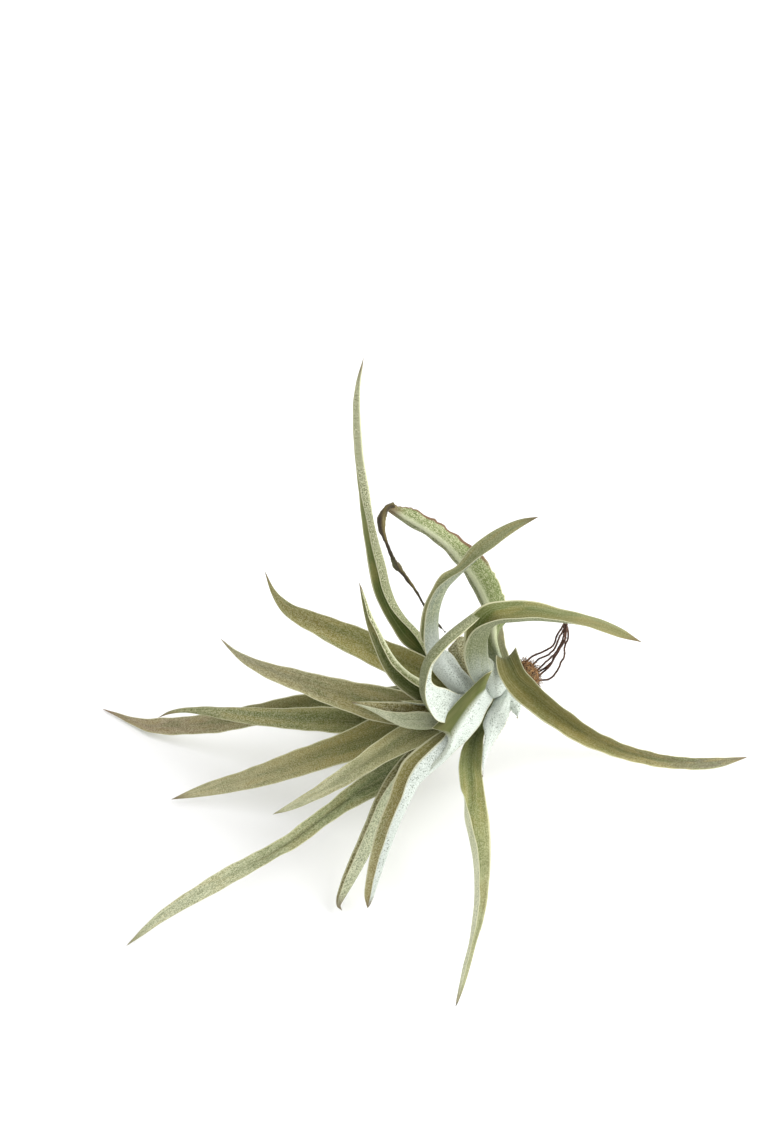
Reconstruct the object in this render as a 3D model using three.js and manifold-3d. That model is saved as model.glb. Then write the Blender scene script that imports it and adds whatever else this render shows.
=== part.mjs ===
// A large silvery air plant without a pot, lying on a surface on the tips of its lower leaves.
// Millimetres, +Z up, front towards -Y. The origin is on the surface, under the middle of the plant's box.
//
// Each leaf is one piece: a sheath that clasps the short stem, and a channelled blade that bends away from
// the growing tip and narrows to a point.

import * as THREE from 'three';
import { mergeVertices } from 'three/addons/utils/BufferGeometryUtils.js';
import Module from 'manifold-3d';

const wasm = await Module();
wasm.setup();

// ---------------------------------------------------------------- driving dimensions

// Points of the plant are written as seen from the front: millimetres to the right, up and near, from a
// mark on the stem, with the eye this far away and looking down on the plant by this angle.
const EYE_DISTANCE = 900;
const LOOK_DOWN = THREE.MathUtils.degToRad(40);
const SIGHT_LINE = { right: -30, up: 40 };

const MARK = new THREE.Vector3(15.7, 2, 46); // where the mark lies over the origin
const RESTING_HEIGHT = 0.32; // of a resting tip's middle line over the surface

const STEM_BASE = [17, 4, -14];
const STEM_TIP = [-16, -8, 8];
const STEM_RADIUS = { base: 3.2, tip: 1.3 };
const STEM_SIDES = 14;

const CLEARANCE = 0.3; // between pieces that touch on the plant
const LEAF_THICKNESS = 1.3; // at the sheath
const TIP_THICKNESS = 0.5; // as a share of the sheath's
const EDGE_THICKNESS = 0.3; // of a leaf's margin, as a share of its middle
const SHEATH = [6, 4]; // its length along the stem, and how far it stands off the stem at the end of that
const CLASP = 1; // radians of the stem that a sheath clasps on each side
const TAPER = [1.3, 0.85]; // how late and how bluntly a leaf narrows
const STEP_LENGTH = 7.5; // between cross sections along a leaf
const SPANS = 4; // across a leaf

const CROWN = { radius: 6.5, neck: 3, length: 6, sides: 16 }; // the old rooted end of the stem
const ROOT_RADIUS = 0.6;
const DRY_TIP_RADIUS = 0.8;
const WIRE = { sides: 6, stepLength: 4 };

const BLADE_OLIVE = '#96946a';
const BLADE_GREEN = '#8a9660';
const BLADE_SILVER = '#b3b69d';
const STEM_WHITE = '#cfd3c8';
const ROOT_BROWN = '#5e3d2a';

// Oldest leaf first. `at` is how far along the stem the leaf sits. `path` is its middle line after the
// sheath; a point without its third number lies on the surface. `facing` is the way its inner face looks,
// at even steps after the sheath. `channel` is how far the halves fold up, in radians, from sheath to tip.
const LEAVES = [
  {
    name: 'sweeping_leaf', at: 3, width: 13, color: BLADE_OLIVE, taper: [1.8, 0.7], sheath: [2, 2],
    side: [0, 0.2, 1],
    path: [
      [13.5, 8, -2], [12.5, 13, 4], [15, 5, 11], [23, -4.5, 15], [38, -14.5, 11], [54, -21.5, 1], [74, -25, -17],
      [92, -23],
    ],
    facing: [
      [-0.1, 0.9, -0.2], [0.3, 0.9, 0.5], [0.4, 0.8, 0.7], [0.3, 0.75, 0.75], [0.2, 0.7, 0.75], [0.1, 0.65, 0.8],
      [0, 0.6, 0.8], [0, 0.6, 0.8],
    ],
    channel: [1, 0.9, 0.9],
  },
  {
    name: 'broken_leaf', at: 4, width: 12.5, color: BLADE_GREEN, cut: 0.8,
    path: [
      [9, 8, -10], [10.3, 18, -14], [9, 25.5, -15], [6.3, 33.5, -14], [1.5, 42, -12], [-9, 52, -10], [-26.5, 61.5, -8],
    ],
    facing: [[-0.6, 0.1, -0.5], [0.3, 0.2, -0.9], [0.35, 0.35, -0.85], [0.3, 0.5, -0.8]],
    channel: [0.9, 0.7, 0.7],
  },
  {
    name: 'rear_leaf', at: 5, width: 12, color: BLADE_OLIVE,
    path: [[8, 6, -24], [8, 14, -42], [8, 21, -62], [7, 25, -82], [6, 27]],
    facing: [[0, 0.9, 0.3], [0, 0.9, 0.3], [0, 0.9, 0.3]],
    channel: [0.9, 0.7, 0.8],
  },
  {
    name: 'rear_right_leaf', at: 6, width: 12, color: BLADE_OLIVE,
    path: [[12, -1, -22], [25, -7, -32], [40, -15, -38], [58, -21.5, -41]],
    facing: [[0.3, 0.7, 0.5], [0.3, 0.7, 0.5], [0.3, 0.7, 0.5]],
    channel: [0.9, 0.7, 0.8],
  },
  {
    name: 'hanging_leaf', at: 8, width: 13, color: BLADE_OLIVE,
    path: [
      [6, -12, 3], [2, -17, 10], [0.3, -25, 18], [1.5, -37, 28], [3.6, -50, 36], [4.5, -63, 43], [3, -77, 48],
      [0, -91, 49], [-4.5, -105.3],
    ],
    facing: [[-0.6, 0, 0.8], [0.1, 0, 1], [0.8, 0, 0.6], [0.9, 0, 0.1]],
    channel: [1.1, 0.9, 1],
  },
  {
    name: 'arching_leaf', at: 9, width: 12, color: BLADE_GREEN,
    path: [[3, 5.5, 7], [0.5, 14, 9], [2, 21, 11], [7, 26, 14], [18, 26.8, 16], [35, 23.5, 15], [57.3, 16, 10]],
    facing: [[-0.8, 0.3, -0.4], [-0.4, 0.8, 0.4], [0, 0.85, 0.5], [0, 0.8, 0.55]],
    channel: [0.8, 0.9, 0.9],
  },
  {
    name: 'under_leaf', at: 10, width: 12, color: BLADE_OLIVE,
    path: [[-4, -7, -22], [-18, -13, -33], [-34, -18, -38], [-52, -22, -40]],
    facing: [[0, 0.7, 0.5], [0, 0.7, 0.5], [0, 0.7, 0.5]],
    channel: [0.9, 0.7, 0.8],
  },
  {
    name: 'keeled_leaf', at: 11, width: 14, color: BLADE_SILVER, taper: [1.5, 0.8],
    path: [
      [-2, -6, 16], [-10, -12, 21], [-15, -20.5, 22], [-21, -33.5, 23], [-27, -48, 23], [-31.5, -62, 20],
      [-34, -72.3, 16],
    ],
    facing: [[-0.5, 0.3, -0.8], [-0.8, 0.4, 0.3], [-0.7, 0.3, 0.5], [-0.7, 0.2, 0.6]],
    channel: [1, 0.9, 0.9],
  },
  {
    name: 'rear_left_leaf', at: 12, width: 12, color: BLADE_OLIVE,
    path: [[-8.5, 3, -19.5], [-23, 8, -36], [-36, 14, -56], [-47, 19, -76], [-56, 23]],
    facing: [[0, 0.9, 0.3], [0, 0.9, 0.3], [0, 0.9, 0.3]],
    channel: [0.9, 0.7, 0.8],
  },
  {
    name: 'upright_leaf', at: 15, width: 11, color: BLADE_GREEN,
    path: [
      [-16, 14, -10], [-24, 24, -12], [-31, 41, -13], [-35.3, 61.7, -14], [-37.9, 85, -15], [-35.7, 110.7, -16],
    ],
    facing: [[-0.6, 0, 0.5], [-0.9, 0, 0.35], [-0.9, 0, 0.25], [-0.9, 0, -0.2]],
    channel: [1, 0.9, 0.9],
  },
  {
    name: 'sinuous_leaf', at: 16, width: 12.5, color: BLADE_SILVER,
    path: [[-7.3, 7.7, 6], [-12.5, 16, 5], [-13.3, 25, 3], [-9, 35.5, 2], [-0.3, 44, 2], [10, 52, 4], [22, 57, 8]],
    facing: [[-0.8, 0, -0.6], [-0.8, 0.2, -0.5], [-0.5, 0.6, 0.3], [-0.4, 0.8, 0.5]],
    channel: [0.8, 0.8, 0.8],
  },
  {
    name: 'long_leaf', at: 17, width: 11, color: BLADE_SILVER,
    path: [[-17, -22, 0], [-30, -31, 4], [-50, -45, 10], [-72, -58, 17], [-95, -70.7, 23], [-114, -85]],
    facing: [[-0.2, 0.3, 0.93], [-0.2, 0.3, 0.93], [-0.2, 0.3, 0.93]],
    channel: [0.8, 0.8, 0.9],
  },
  {
    name: 'rear_low_leaf', at: 18, width: 11, color: BLADE_OLIVE,
    path: [[-14, -1, -20], [-28, -1, -34], [-43, -1.5, -48], [-58, -3, -58], [-72, -5]],
    facing: [[0, 0.9, 0.3], [0, 0.9, 0.3], [0, 0.9, 0.3]],
    channel: [0.9, 0.7, 0.8],
  },
  {
    name: 'hooked_tip_leaf', at: 19, width: 10, color: BLADE_SILVER,
    path: [[-20, -20, 6], [-27.7, -32.3, 8], [-34.7, -46.7, 12], [-41, -60.7, 15], [-44.3, -71, 16], [-42.5, -73.5, 17]],
    facing: [[-0.8, 0.2, -0.5], [-0.8, 0.2, -0.5]],
    channel: [0.8, 0.7, 0.7],
  },
  {
    name: 'hook_leaf', at: 20, width: 13, color: BLADE_SILVER,
    path: [[-9, -6, 13], [-13.5, -5, 20], [-13.8, 5, 24], [-9.5, 13, 23], [-2.7, 20.7, 17], [4.7, 28.5, 8]],
    facing: [[0, -0.9, -0.4], [-0.7, -0.1, 0.5], [-0.4, 0.4, 0.8], [-0.5, 0.5, 0.7]],
    channel: [0.8, 0.8, 0.8],
  },
  {
    name: 'brown_tipped_leaf', at: 21, width: 12, color: BLADE_OLIVE,
    path: [[-25, -3, -12], [-41.7, -3, -20], [-62, -5.3, -29], [-85, -10, -40], [-105, -12.3, -50], [-122.7, -6.3]],
    facing: [[0, 0.6, 0.8], [0, 0.3, 0.95], [0, 0.3, 0.95]],
    channel: [0.8, 0.6, 0.8],
  },
  {
    name: 'lower_left_leaf', at: 22, width: 12, color: BLADE_OLIVE,
    path: [[-21.7, -10.5, 0], [-35, -15, -4], [-55, -22.3, -10], [-76.7, -28.3, -16], [-99.3, -36.3, -22]],
    facing: [[0.1, 0.2, 0.97], [0.1, 0.2, 0.97]],
    channel: [0.8, 0.6, 0.8],
  },
  {
    name: 'upper_left_leaf', at: 23, width: 12, color: BLADE_OLIVE,
    path: [[-22, 8, -6], [-35, 14.3, -10], [-50, 21, -16], [-61, 27, -20], [-69, 38.3, -24]],
    facing: [[0.3, 0.4, 0.85], [0.3, 0.4, 0.85]],
    channel: [0.8, 0.6, 0.8],
  },
  {
    name: 'twisted_leaf', at: 25, width: 11, color: BLADE_OLIVE,
    path: [[-25, -8.5, -6], [-45, -10.5, -12], [-63, -10, -18], [-82, -7, -24], [-96, -6, -28], [-105.7, -10, -31]],
    facing: [[0, 0.4, 0.9], [0, 0.5, 0.8], [0, 0.9, 0.4], [0, 1, 0.1]],
    channel: [0.8, 0.7, 0.8],
  },
  {
    name: 'short_leaf', at: 25.5, width: 10, color: BLADE_OLIVE,
    path: [[-17, -14.3, 8], [-30, -21.5, 9], [-46, -30.5, 8], [-66, -41.7, 6]],
    facing: [[0.2, 0.6, 0.75], [0.2, 0.6, 0.75]],
    channel: [0.9, 0.8, 0.8],
  },
  {
    name: 'left_leaf', at: 28, width: 12, color: BLADE_OLIVE,
    path: [[-25, -5.5, 2], [-43, -1.3, 0], [-60, 4, -4], [-74, 10, -7], [-82.5, 16.3, -9]],
    facing: [[0.1, 0.35, 0.93], [0.1, 0.35, 0.93]],
    channel: [0.8, 0.6, 0.8],
  },
  {
    name: 'small_upright_leaf', at: 30, width: 9, color: BLADE_GREEN,
    path: [[-21, 1, 9], [-29, 11.7, 10], [-34, 24, 10], [-36.7, 35, 9]],
    facing: [[-0.6, -0.3, 0.6], [-0.6, -0.3, 0.6]],
    channel: [0.9, 0.9, 0.9],
  },
  {
    name: 'young_leaf', at: 32, width: 10, color: BLADE_SILVER, sheath: [4, 3],
    path: [[-18, -9, 12], [-28, -8.5, 15], [-39.5, -4.5, 16]],
    facing: [[0, 0.9, 0.1], [0, 0.9, 0.3]],
    channel: [0.9, 0.9, 0.9],
  },
  {
    name: 'heart_leaf', at: 36, width: 5, color: BLADE_GREEN, sheath: [4, 1],
    path: [[-17, -4.5, 12], [-23.5, -3.5, 14]],
    facing: [[0, 0.9, 0.3], [0, 0.9, 0.3]],
    channel: [0.9, 0.8, 0.8],
  },
];

// Five dead roots, from the crown to the tangle where they meet.
const TANGLE = [33, 24.5, -8];
const ROOTS = [
  [[20, 7.5, -18], [22, 12.7, -16], [27.3, 16.7, -13], [30, 20, -10], TANGLE],
  [[21.5, 6.5, -18], [24, 10.5, -17], [28, 14.7, -13], [31, 19, -9.5], TANGLE],
  [[22, 5.5, -18], [25.5, 9.3, -16], [28, 13.5, -11.5], [30.7, 18.5, -8], TANGLE],
  [[23, 4, -18], [26, 7.5, -18], [29.8, 13.5, -15], [32, 20, -10.5], TANGLE],
  [[23, 3, -18], [28, 4.7, -18], [30.3, 9, -16], [32.3, 16, -12], TANGLE],
];

// The dead end of the broken leaf, which hangs from where the leaf snapped.
const DRY_TIP = [
  [-24, 60.5, -8.5], [-27, 62.3, -7.5], [-29.7, 58.3, -5], [-30.3, 53.3, -4], [-28.3, 47.3, -4.5], [-25.7, 41.7, -6],
  [-23, 38.5, -7], [-20, 35, -8], [-16, 29.5, -9],
];

// ---------------------------------------------------------------- seen points and the stem's line

function direction([right, up, near]) {
  const y = up * Math.sin(LOOK_DOWN) - near * Math.cos(LOOK_DOWN);
  const z = up * Math.cos(LOOK_DOWN) + near * Math.sin(LOOK_DOWN);
  return new THREE.Vector3(right, y, z);
}

// How near to the eye a seen point is where it lies on the surface.
function nearOnSurface(right, up) {
  const slope = Math.sin(LOOK_DOWN) - Math.cos(LOOK_DOWN) * (up - SIGHT_LINE.up) / EYE_DISTANCE;
  return (RESTING_HEIGHT - MARK.z - up * Math.cos(LOOK_DOWN)) / slope;
}

function seenPoint([right, up, near = nearOnSurface(right, up)]) {
  const shrink = (EYE_DISTANCE - near) / EYE_DISTANCE;
  const across = SIGHT_LINE.right + (right - SIGHT_LINE.right) * shrink;
  const height = SIGHT_LINE.up + (up - SIGHT_LINE.up) * shrink;
  return direction([across, height, near]).add(MARK);
}

const stemBase = seenPoint(STEM_BASE);
const stemTip = seenPoint(STEM_TIP);
const stemLength = stemBase.distanceTo(stemTip);
const stemAxis = stemTip.clone().sub(stemBase).normalize();

const onStem = (along) => stemBase.clone().addScaledVector(stemAxis, along);

function stemRadius(along) {
  const share = THREE.MathUtils.clamp(along / stemLength, 0, 1);
  return THREE.MathUtils.lerp(STEM_RADIUS.base, STEM_RADIUS.tip, share);
}

// The part of a vector that points straight away from the stem's line, at length 1.
function awayFromStem(vector) {
  return vector.clone().addScaledVector(stemAxis, -vector.dot(stemAxis)).normalize();
}

// ---------------------------------------------------------------- leaves

// Half a leaf's thickness and a little room from the stem's skin to the middle of a leaf's foot.
const footRadius = (leaf) => stemRadius(leaf.at) + LEAF_THICKNESS / 2 + 1.5 * CLEARANCE;

function middleLine(leaf) {
  const [length, lift] = leaf.sheath ?? SHEATH;
  const path = leaf.path.map(seenPoint);
  const sheathEnd = onStem(leaf.at + length);
  const out = awayFromStem(leaf.side ? direction(leaf.side) : path[0].clone().sub(sheathEnd));
  const foot = onStem(leaf.at).addScaledVector(out, footRadius(leaf));
  sheathEnd.addScaledVector(out, footRadius(leaf) + lift);
  return { curve: new THREE.CatmullRomCurve3([foot, sheathEnd, ...path]), out };
}

// A smooth value along a leaf, through values that are given at even steps.
function along(values, share) {
  const place = share * (values.length - 1);
  const step = Math.min(Math.floor(place), values.length - 2);
  return THREE.MathUtils.lerp(values[step], values[step + 1], THREE.MathUtils.smoothstep(place, step, step + 1));
}

function halfWidth(leaf, share) {
  const [lateness, bluntness] = leaf.taper ?? TAPER;
  const reach = share * (leaf.cut ?? 1);
  return Math.max(leaf.width / 2 * (1 - reach ** lateness) ** bluntness, CLEARANCE);
}

// The outline of one cross section: a shallow gutter, thick in the middle and thin at its two margins.
function section(leaf, share, centre, forward, inward, swell) {
  const sideways = forward.clone().cross(inward);
  const fold = along([CLASP, ...leaf.channel], share);
  const half = halfWidth(leaf, share) + swell;
  const radius = half / fold;
  const thickness = LEAF_THICKNESS * THREE.MathUtils.lerp(1, TIP_THICKNESS, share);
  const inner = [];
  const outer = [];
  for (let i = 0; i <= SPANS; i += 1) {
    const across = i / SPANS * 2 - 1;
    const angle = across * fold;
    const normal = inward.clone().multiplyScalar(Math.cos(angle)).addScaledVector(sideways, -Math.sin(angle));
    const point = centre.clone().addScaledVector(sideways, radius * Math.sin(angle));
    point.addScaledVector(inward, radius * (1 - Math.cos(angle)));
    const depth = thickness / 2 * THREE.MathUtils.lerp(1, EDGE_THICKNESS, across ** 2) + swell;
    inner.push(point.clone().addScaledVector(normal, depth));
    outer.unshift(point.clone().addScaledVector(normal, -depth));
  }
  return [...inner, ...outer];
}

function leafSections(leaf, swell) {
  const { curve, out } = middleLine(leaf);
  const steps = Math.round(curve.getLength() / STEP_LENGTH) + 2;
  const looks = [out.clone().negate(), ...leaf.facing.map((look) => direction(look).normalize())];
  const turning = new THREE.CatmullRomCurve3(looks);
  return Array.from({ length: steps + 1 }, (_, i) => {
    const share = i / steps;
    const forward = curve.getTangentAt(share);
    const look = turning.getPoint(share);
    const inward = look.addScaledVector(forward, -look.dot(forward)).normalize();
    const beyond = { 0: -swell, 1: swell }[share] ?? 0;
    const centre = curve.getPointAt(share).addScaledVector(forward, beyond);
    return section(leaf, share, centre, forward, inward, swell);
  });
}

// A closed skin over a row of outlines that all have the same number of points.
function loft(sections) {
  const count = sections[0].length;
  const last = (sections.length - 1) * count;
  const index = [];
  for (let s = 0; s < sections.length - 1; s += 1) {
    for (let i = 0; i < count; i += 1) {
      const a = s * count + i;
      const b = s * count + (i + 1) % count;
      index.push(a, b, b + count, a, b + count, a + count);
    }
  }
  for (let i = 0; i < count / 2 - 1; i += 1) {
    const j = count - 1 - i;
    index.push(i, j - 1, i + 1, i, j, j - 1);
    index.push(last + i, last + i + 1, last + j - 1, last + i, last + j - 1, last + j);
  }
  const geometry = new THREE.BufferGeometry().setFromPoints(sections.flat());
  return geometry.setIndex(index);
}

// ---------------------------------------------------------------- cutting and joining

function solidOf(geometry) {
  const bare = geometry.clone();
  bare.deleteAttribute('normal');
  bare.deleteAttribute('uv');
  const merged = mergeVertices(bare);
  return new wasm.Manifold(new wasm.Mesh({
    numProp: 3,
    vertProperties: new Float32Array(merged.attributes.position.array),
    triVerts: new Uint32Array(merged.index.array),
  }));
}

function geometryOf(solid) {
  const { vertProperties, triVerts } = solid.getMesh();
  const geometry = new THREE.BufferGeometry();
  geometry.setAttribute('position', new THREE.BufferAttribute(vertProperties, 3));
  return geometry.setIndex(new THREE.BufferAttribute(triVerts, 1));
}

function largestBody(solid) {
  return solid.decompose().reduce((best, body) => (body.volume() > best.volume() ? body : best));
}

// ---------------------------------------------------------------- stem, crown, roots and dry tip

function turned(outline, sides) {
  return new THREE.LatheGeometry(outline.map(([radius, height]) => new THREE.Vector2(radius, height)), sides);
}

function stemGeometry(swell) {
  const outline = [
    [0, -swell],
    [STEM_RADIUS.base + swell, -swell],
    [STEM_RADIUS.tip + swell, stemLength - STEM_RADIUS.tip],
    [STEM_RADIUS.tip / 2 + swell, stemLength + swell],
    [0, stemLength + swell],
  ];
  return pointAlong(turned(outline, STEM_SIDES), stemAxis, stemBase);
}

// A knob behind the stem, widest at its middle.
function crownGeometry(swell) {
  const { radius, neck, length, sides } = CROWN;
  const outline = [
    [0, CLEARANCE - swell],
    [neck + swell, CLEARANCE - swell],
    [radius + swell, length / 2],
    [radius * 0.9 + swell, length * 0.8],
    [neck + swell, length + swell],
    [0, length + swell],
  ];
  return pointAlong(turned(outline, sides), stemAxis.clone().negate(), stemBase);
}

function pointAlong(geometry, axis, start) {
  geometry.applyQuaternion(new THREE.Quaternion().setFromUnitVectors(new THREE.Vector3(0, 1, 0), axis));
  return geometry.translate(start.x, start.y, start.z);
}

function wireGeometry(path, radius) {
  const curve = new THREE.CatmullRomCurve3(path.map(seenPoint));
  const outline = new THREE.Shape(Array.from({ length: WIRE.sides }, (_, i) => {
    const angle = i / WIRE.sides * Math.PI * 2;
    return new THREE.Vector2(radius * Math.cos(angle), radius * Math.sin(angle));
  }));
  const steps = Math.round(curve.getLength() / WIRE.stepLength);
  return new THREE.ExtrudeGeometry(outline, { steps, bevelEnabled: false, extrudePath: curve });
}

function rootsSolid() {
  const wires = ROOTS.map((path) => solidOf(wireGeometry(path, ROOT_RADIUS)));
  return wires.reduce((whole, wire) => whole.add(wire), solidOf(crownGeometry(0)));
}

// ---------------------------------------------------------------- the plant

function named(name, geometry, color, roughness = 0.85) {
  const mesh = new THREE.Mesh(geometry, new THREE.MeshStandardMaterial({ color, roughness, metalness: 0 }));
  mesh.name = name;
  return mesh;
}

const plant = new THREE.Group();
plant.add(named('stem', stemGeometry(0), STEM_WHITE));
plant.add(named('roots', geometryOf(rootsSolid()), ROOT_BROWN, 0.95));

// The youngest sheaths sit innermost, so each older leaf is cut back around those inside it.
const inside = [solidOf(stemGeometry(CLEARANCE)), solidOf(crownGeometry(CLEARANCE))];
for (const leaf of [...LEAVES].reverse()) {
  let solid = solidOf(loft(leafSections(leaf, 0)));
  if (leaf.name === 'broken_leaf') {
    solid = solid.add(solidOf(wireGeometry(DRY_TIP, DRY_TIP_RADIUS)));
  }
  for (const younger of inside) {
    solid = solid.subtract(younger);
  }
  plant.add(named(leaf.name, geometryOf(largestBody(solid)), leaf.color));
  inside.push(solidOf(loft(leafSections(leaf, CLEARANCE))));
}

export default plant;
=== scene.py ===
# A large silvery air plant without a pot, lying on a pale surface on the tips of its lower leaves.
# Sizes are in millimetres until a mesh is made, and in metres in a material or a Geometry Nodes tree. A
# point is written as it is seen from the front: so far to the right, up and near, from a mark beside the
# stem. Without the third number it lies on the surface.

import math

import bpy
import numpy as np
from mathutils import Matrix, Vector


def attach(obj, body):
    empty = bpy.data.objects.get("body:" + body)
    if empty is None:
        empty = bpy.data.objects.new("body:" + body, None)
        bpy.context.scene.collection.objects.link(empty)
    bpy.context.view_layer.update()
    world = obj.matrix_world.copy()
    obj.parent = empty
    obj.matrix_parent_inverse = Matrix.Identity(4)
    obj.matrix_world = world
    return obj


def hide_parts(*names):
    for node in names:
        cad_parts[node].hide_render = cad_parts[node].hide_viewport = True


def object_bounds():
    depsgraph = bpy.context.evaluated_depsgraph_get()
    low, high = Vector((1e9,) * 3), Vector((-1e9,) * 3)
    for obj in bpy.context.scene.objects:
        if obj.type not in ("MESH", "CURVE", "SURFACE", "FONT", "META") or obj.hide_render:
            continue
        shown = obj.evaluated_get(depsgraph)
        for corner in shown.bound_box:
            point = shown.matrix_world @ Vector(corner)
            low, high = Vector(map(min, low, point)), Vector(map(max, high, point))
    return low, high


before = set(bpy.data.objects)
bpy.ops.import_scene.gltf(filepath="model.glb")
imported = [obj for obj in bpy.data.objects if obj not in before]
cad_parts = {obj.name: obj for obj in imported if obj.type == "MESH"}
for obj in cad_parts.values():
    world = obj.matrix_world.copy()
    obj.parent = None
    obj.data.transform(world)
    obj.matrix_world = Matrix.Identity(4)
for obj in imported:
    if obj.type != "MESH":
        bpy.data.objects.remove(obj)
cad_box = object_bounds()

# ---------------------------------------------------------------------------------------------- stem
# The short living stem that carries every leaf: pale, blunt, thicker at its old end, and ringed with the
# scars of lost leaves. It leans up to the left, and the sheaths hide nearly all of it.

MM = 0.001
EYE_DISTANCE = 900
LOOK_DOWN = math.radians(40)
SIGHT_LINE = (-30, 40)
MARK = np.array((15.7, 2, 46))
RESTING_HEIGHT = 0.32


def unit(vector):
    """A vector, or each of an array of them, at length 1."""
    return vector / np.linalg.norm(vector, axis=-1, keepdims=True)


def direction(seen):
    """The plant's own right, back and height of a direction seen as right, up and near."""
    right, up, near = seen
    back = up * math.sin(LOOK_DOWN) - near * math.cos(LOOK_DOWN)
    height = up * math.cos(LOOK_DOWN) + near * math.sin(LOOK_DOWN)
    return np.array((right, back, height))


def near_on_surface(up):
    """How near a seen point is where it lies on the surface."""
    slope = math.sin(LOOK_DOWN) - math.cos(LOOK_DOWN) * (up - SIGHT_LINE[1]) / EYE_DISTANCE
    return (RESTING_HEIGHT - MARK[2] - up * math.cos(LOOK_DOWN)) / slope


def place(seen):
    """Where a seen point is on the plant."""
    right, up, near = seen if len(seen) == 3 else (*seen, near_on_surface(seen[1]))
    shrink = (EYE_DISTANCE - near) / EYE_DISTANCE
    across = SIGHT_LINE[0] + (right - SIGHT_LINE[0]) * shrink
    height = SIGHT_LINE[1] + (up - SIGHT_LINE[1]) * shrink
    return direction((across, height, near)) + MARK


STEM_BASE = place((17, 4, -14))
STEM_TIP = place((-16, -8, 8))
STEM_LENGTH = np.linalg.norm(STEM_TIP - STEM_BASE)
STEM_AXIS = (STEM_TIP - STEM_BASE) / STEM_LENGTH
STEM_RADII = (3.2, 1.3)
STEM_ROWS, STEM_SIDES = 90, 40
SCAR_SPACING = 2.4
SCAR_DEPTH = 0.12
RELIEF = 0.2


def stem_radius(along_stem):
    return np.interp(along_stem, (0, STEM_LENGTH), STEM_RADII)


def on_stem(along_stem):
    """A point of the stem's middle line, so far from its old end."""
    return STEM_BASE + STEM_AXIS * along_stem


def away_from_stem(vector):
    return unit(vector - STEM_AXIS * (vector @ STEM_AXIS))


def tube_faces(rows, columns):
    """The faces of a closed tube of so many outlines, with a fan of strips over each of its two ends."""
    row, column = np.meshgrid(np.arange(rows - 1), np.arange(columns), indexing="ij")
    a = (row * columns + column).ravel()
    b = (row * columns + (column + 1) % columns).ravel()
    faces = np.stack((a, b, b + columns, a + columns), 1).tolist()
    last = (rows - 1) * columns
    for i in range(columns // 2 - 1):
        j = columns - 1 - i
        faces.append((i, j, j - 1, i + 1))
        faces.append((last + i, last + i + 1, last + j - 1, last + j))
    return faces


def round_tube(centres, radii, sides):
    """The points of a straight tube along the stem's axis."""
    angle = np.arange(sides) / sides * math.tau
    first = unit(np.cross(STEM_AXIS, (0, 0, 1)))
    ring = np.outer(np.cos(angle), first) + np.outer(np.sin(angle), np.cross(STEM_AXIS, first))
    return centres[:, None] + ring * radii[:, None, None]


def rounded(share, part, least):
    """How much of its radius a tube has where its end, one part of so many of its length, is rounded."""
    return np.clip(share * part, least, 1) ** 0.5


def piece(name, mesh, material, node):
    """A part of the plant with a smooth skin, which stands for a node of the frame."""
    mesh.shade_smooth()
    mesh.materials.clear()
    mesh.materials.append(material)
    thing = bpy.data.objects.new(name, mesh)
    bpy.context.collection.objects.link(thing)
    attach(thing, "root")
    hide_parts(node)


def mesh_of(name, points, faces, edges=()):
    """A mesh of points in millimetres, kept inside the plant's own box."""
    low, high = (np.array(corner) for corner in cad_box)
    mesh = bpy.data.meshes.new(name)
    mesh.from_pydata(np.clip(points.reshape(-1, 3) * MM, low, high).tolist(), edges, faces)
    return mesh


def paint(code):
    """The shader's colour for a colour code such as "#8a9660"."""
    shares = [int(code[i:i + 2], 16) / 255 for i in (1, 3, 5)]
    return (*(c / 12.92 if c <= 0.04045 else ((c + 0.055) / 1.055) ** 2.4 for c in shares), 1)


class Value:
    """A number, colour or shape in a graph of nodes. Arithmetic on it adds the nodes that work it out."""

    def __init__(self, graph, socket):
        self.graph = graph
        self.socket = socket

    def calculate(self, operation, *numbers):
        return self.graph.node("ShaderNodeMath", {"operation": operation}, dict(enumerate(numbers)))

    def __add__(self, other):
        return self.calculate("ADD", self, other)

    def __sub__(self, other):
        return self.calculate("SUBTRACT", self, other)

    def __mul__(self, other):
        return self.calculate("MULTIPLY", self, other)

    def __rsub__(self, other):
        return self.calculate("SUBTRACT", other, self)

    def __abs__(self):
        return self.calculate("ABSOLUTE", self)

    __radd__ = __add__
    __rmul__ = __mul__


class Graph:
    """A tree of nodes, built node by node."""

    def __init__(self, tree):
        self.tree = tree

    def node(self, kind, settings=None, inputs=None, output=0):
        """A node's output, with its settings and then its inputs, by name or number, set or linked."""
        node = self.tree.nodes.new(kind)
        for setting, value in (settings or {}).items():
            setattr(node, setting, value)
        for socket, value in (inputs or {}).items():
            self.feed(node.inputs[socket], value)
        return Value(self, node.outputs[output])

    def feed(self, socket, value):
        if isinstance(value, Value):
            self.tree.links.new(value.socket, socket)
        else:
            socket.default_value = value


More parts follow.
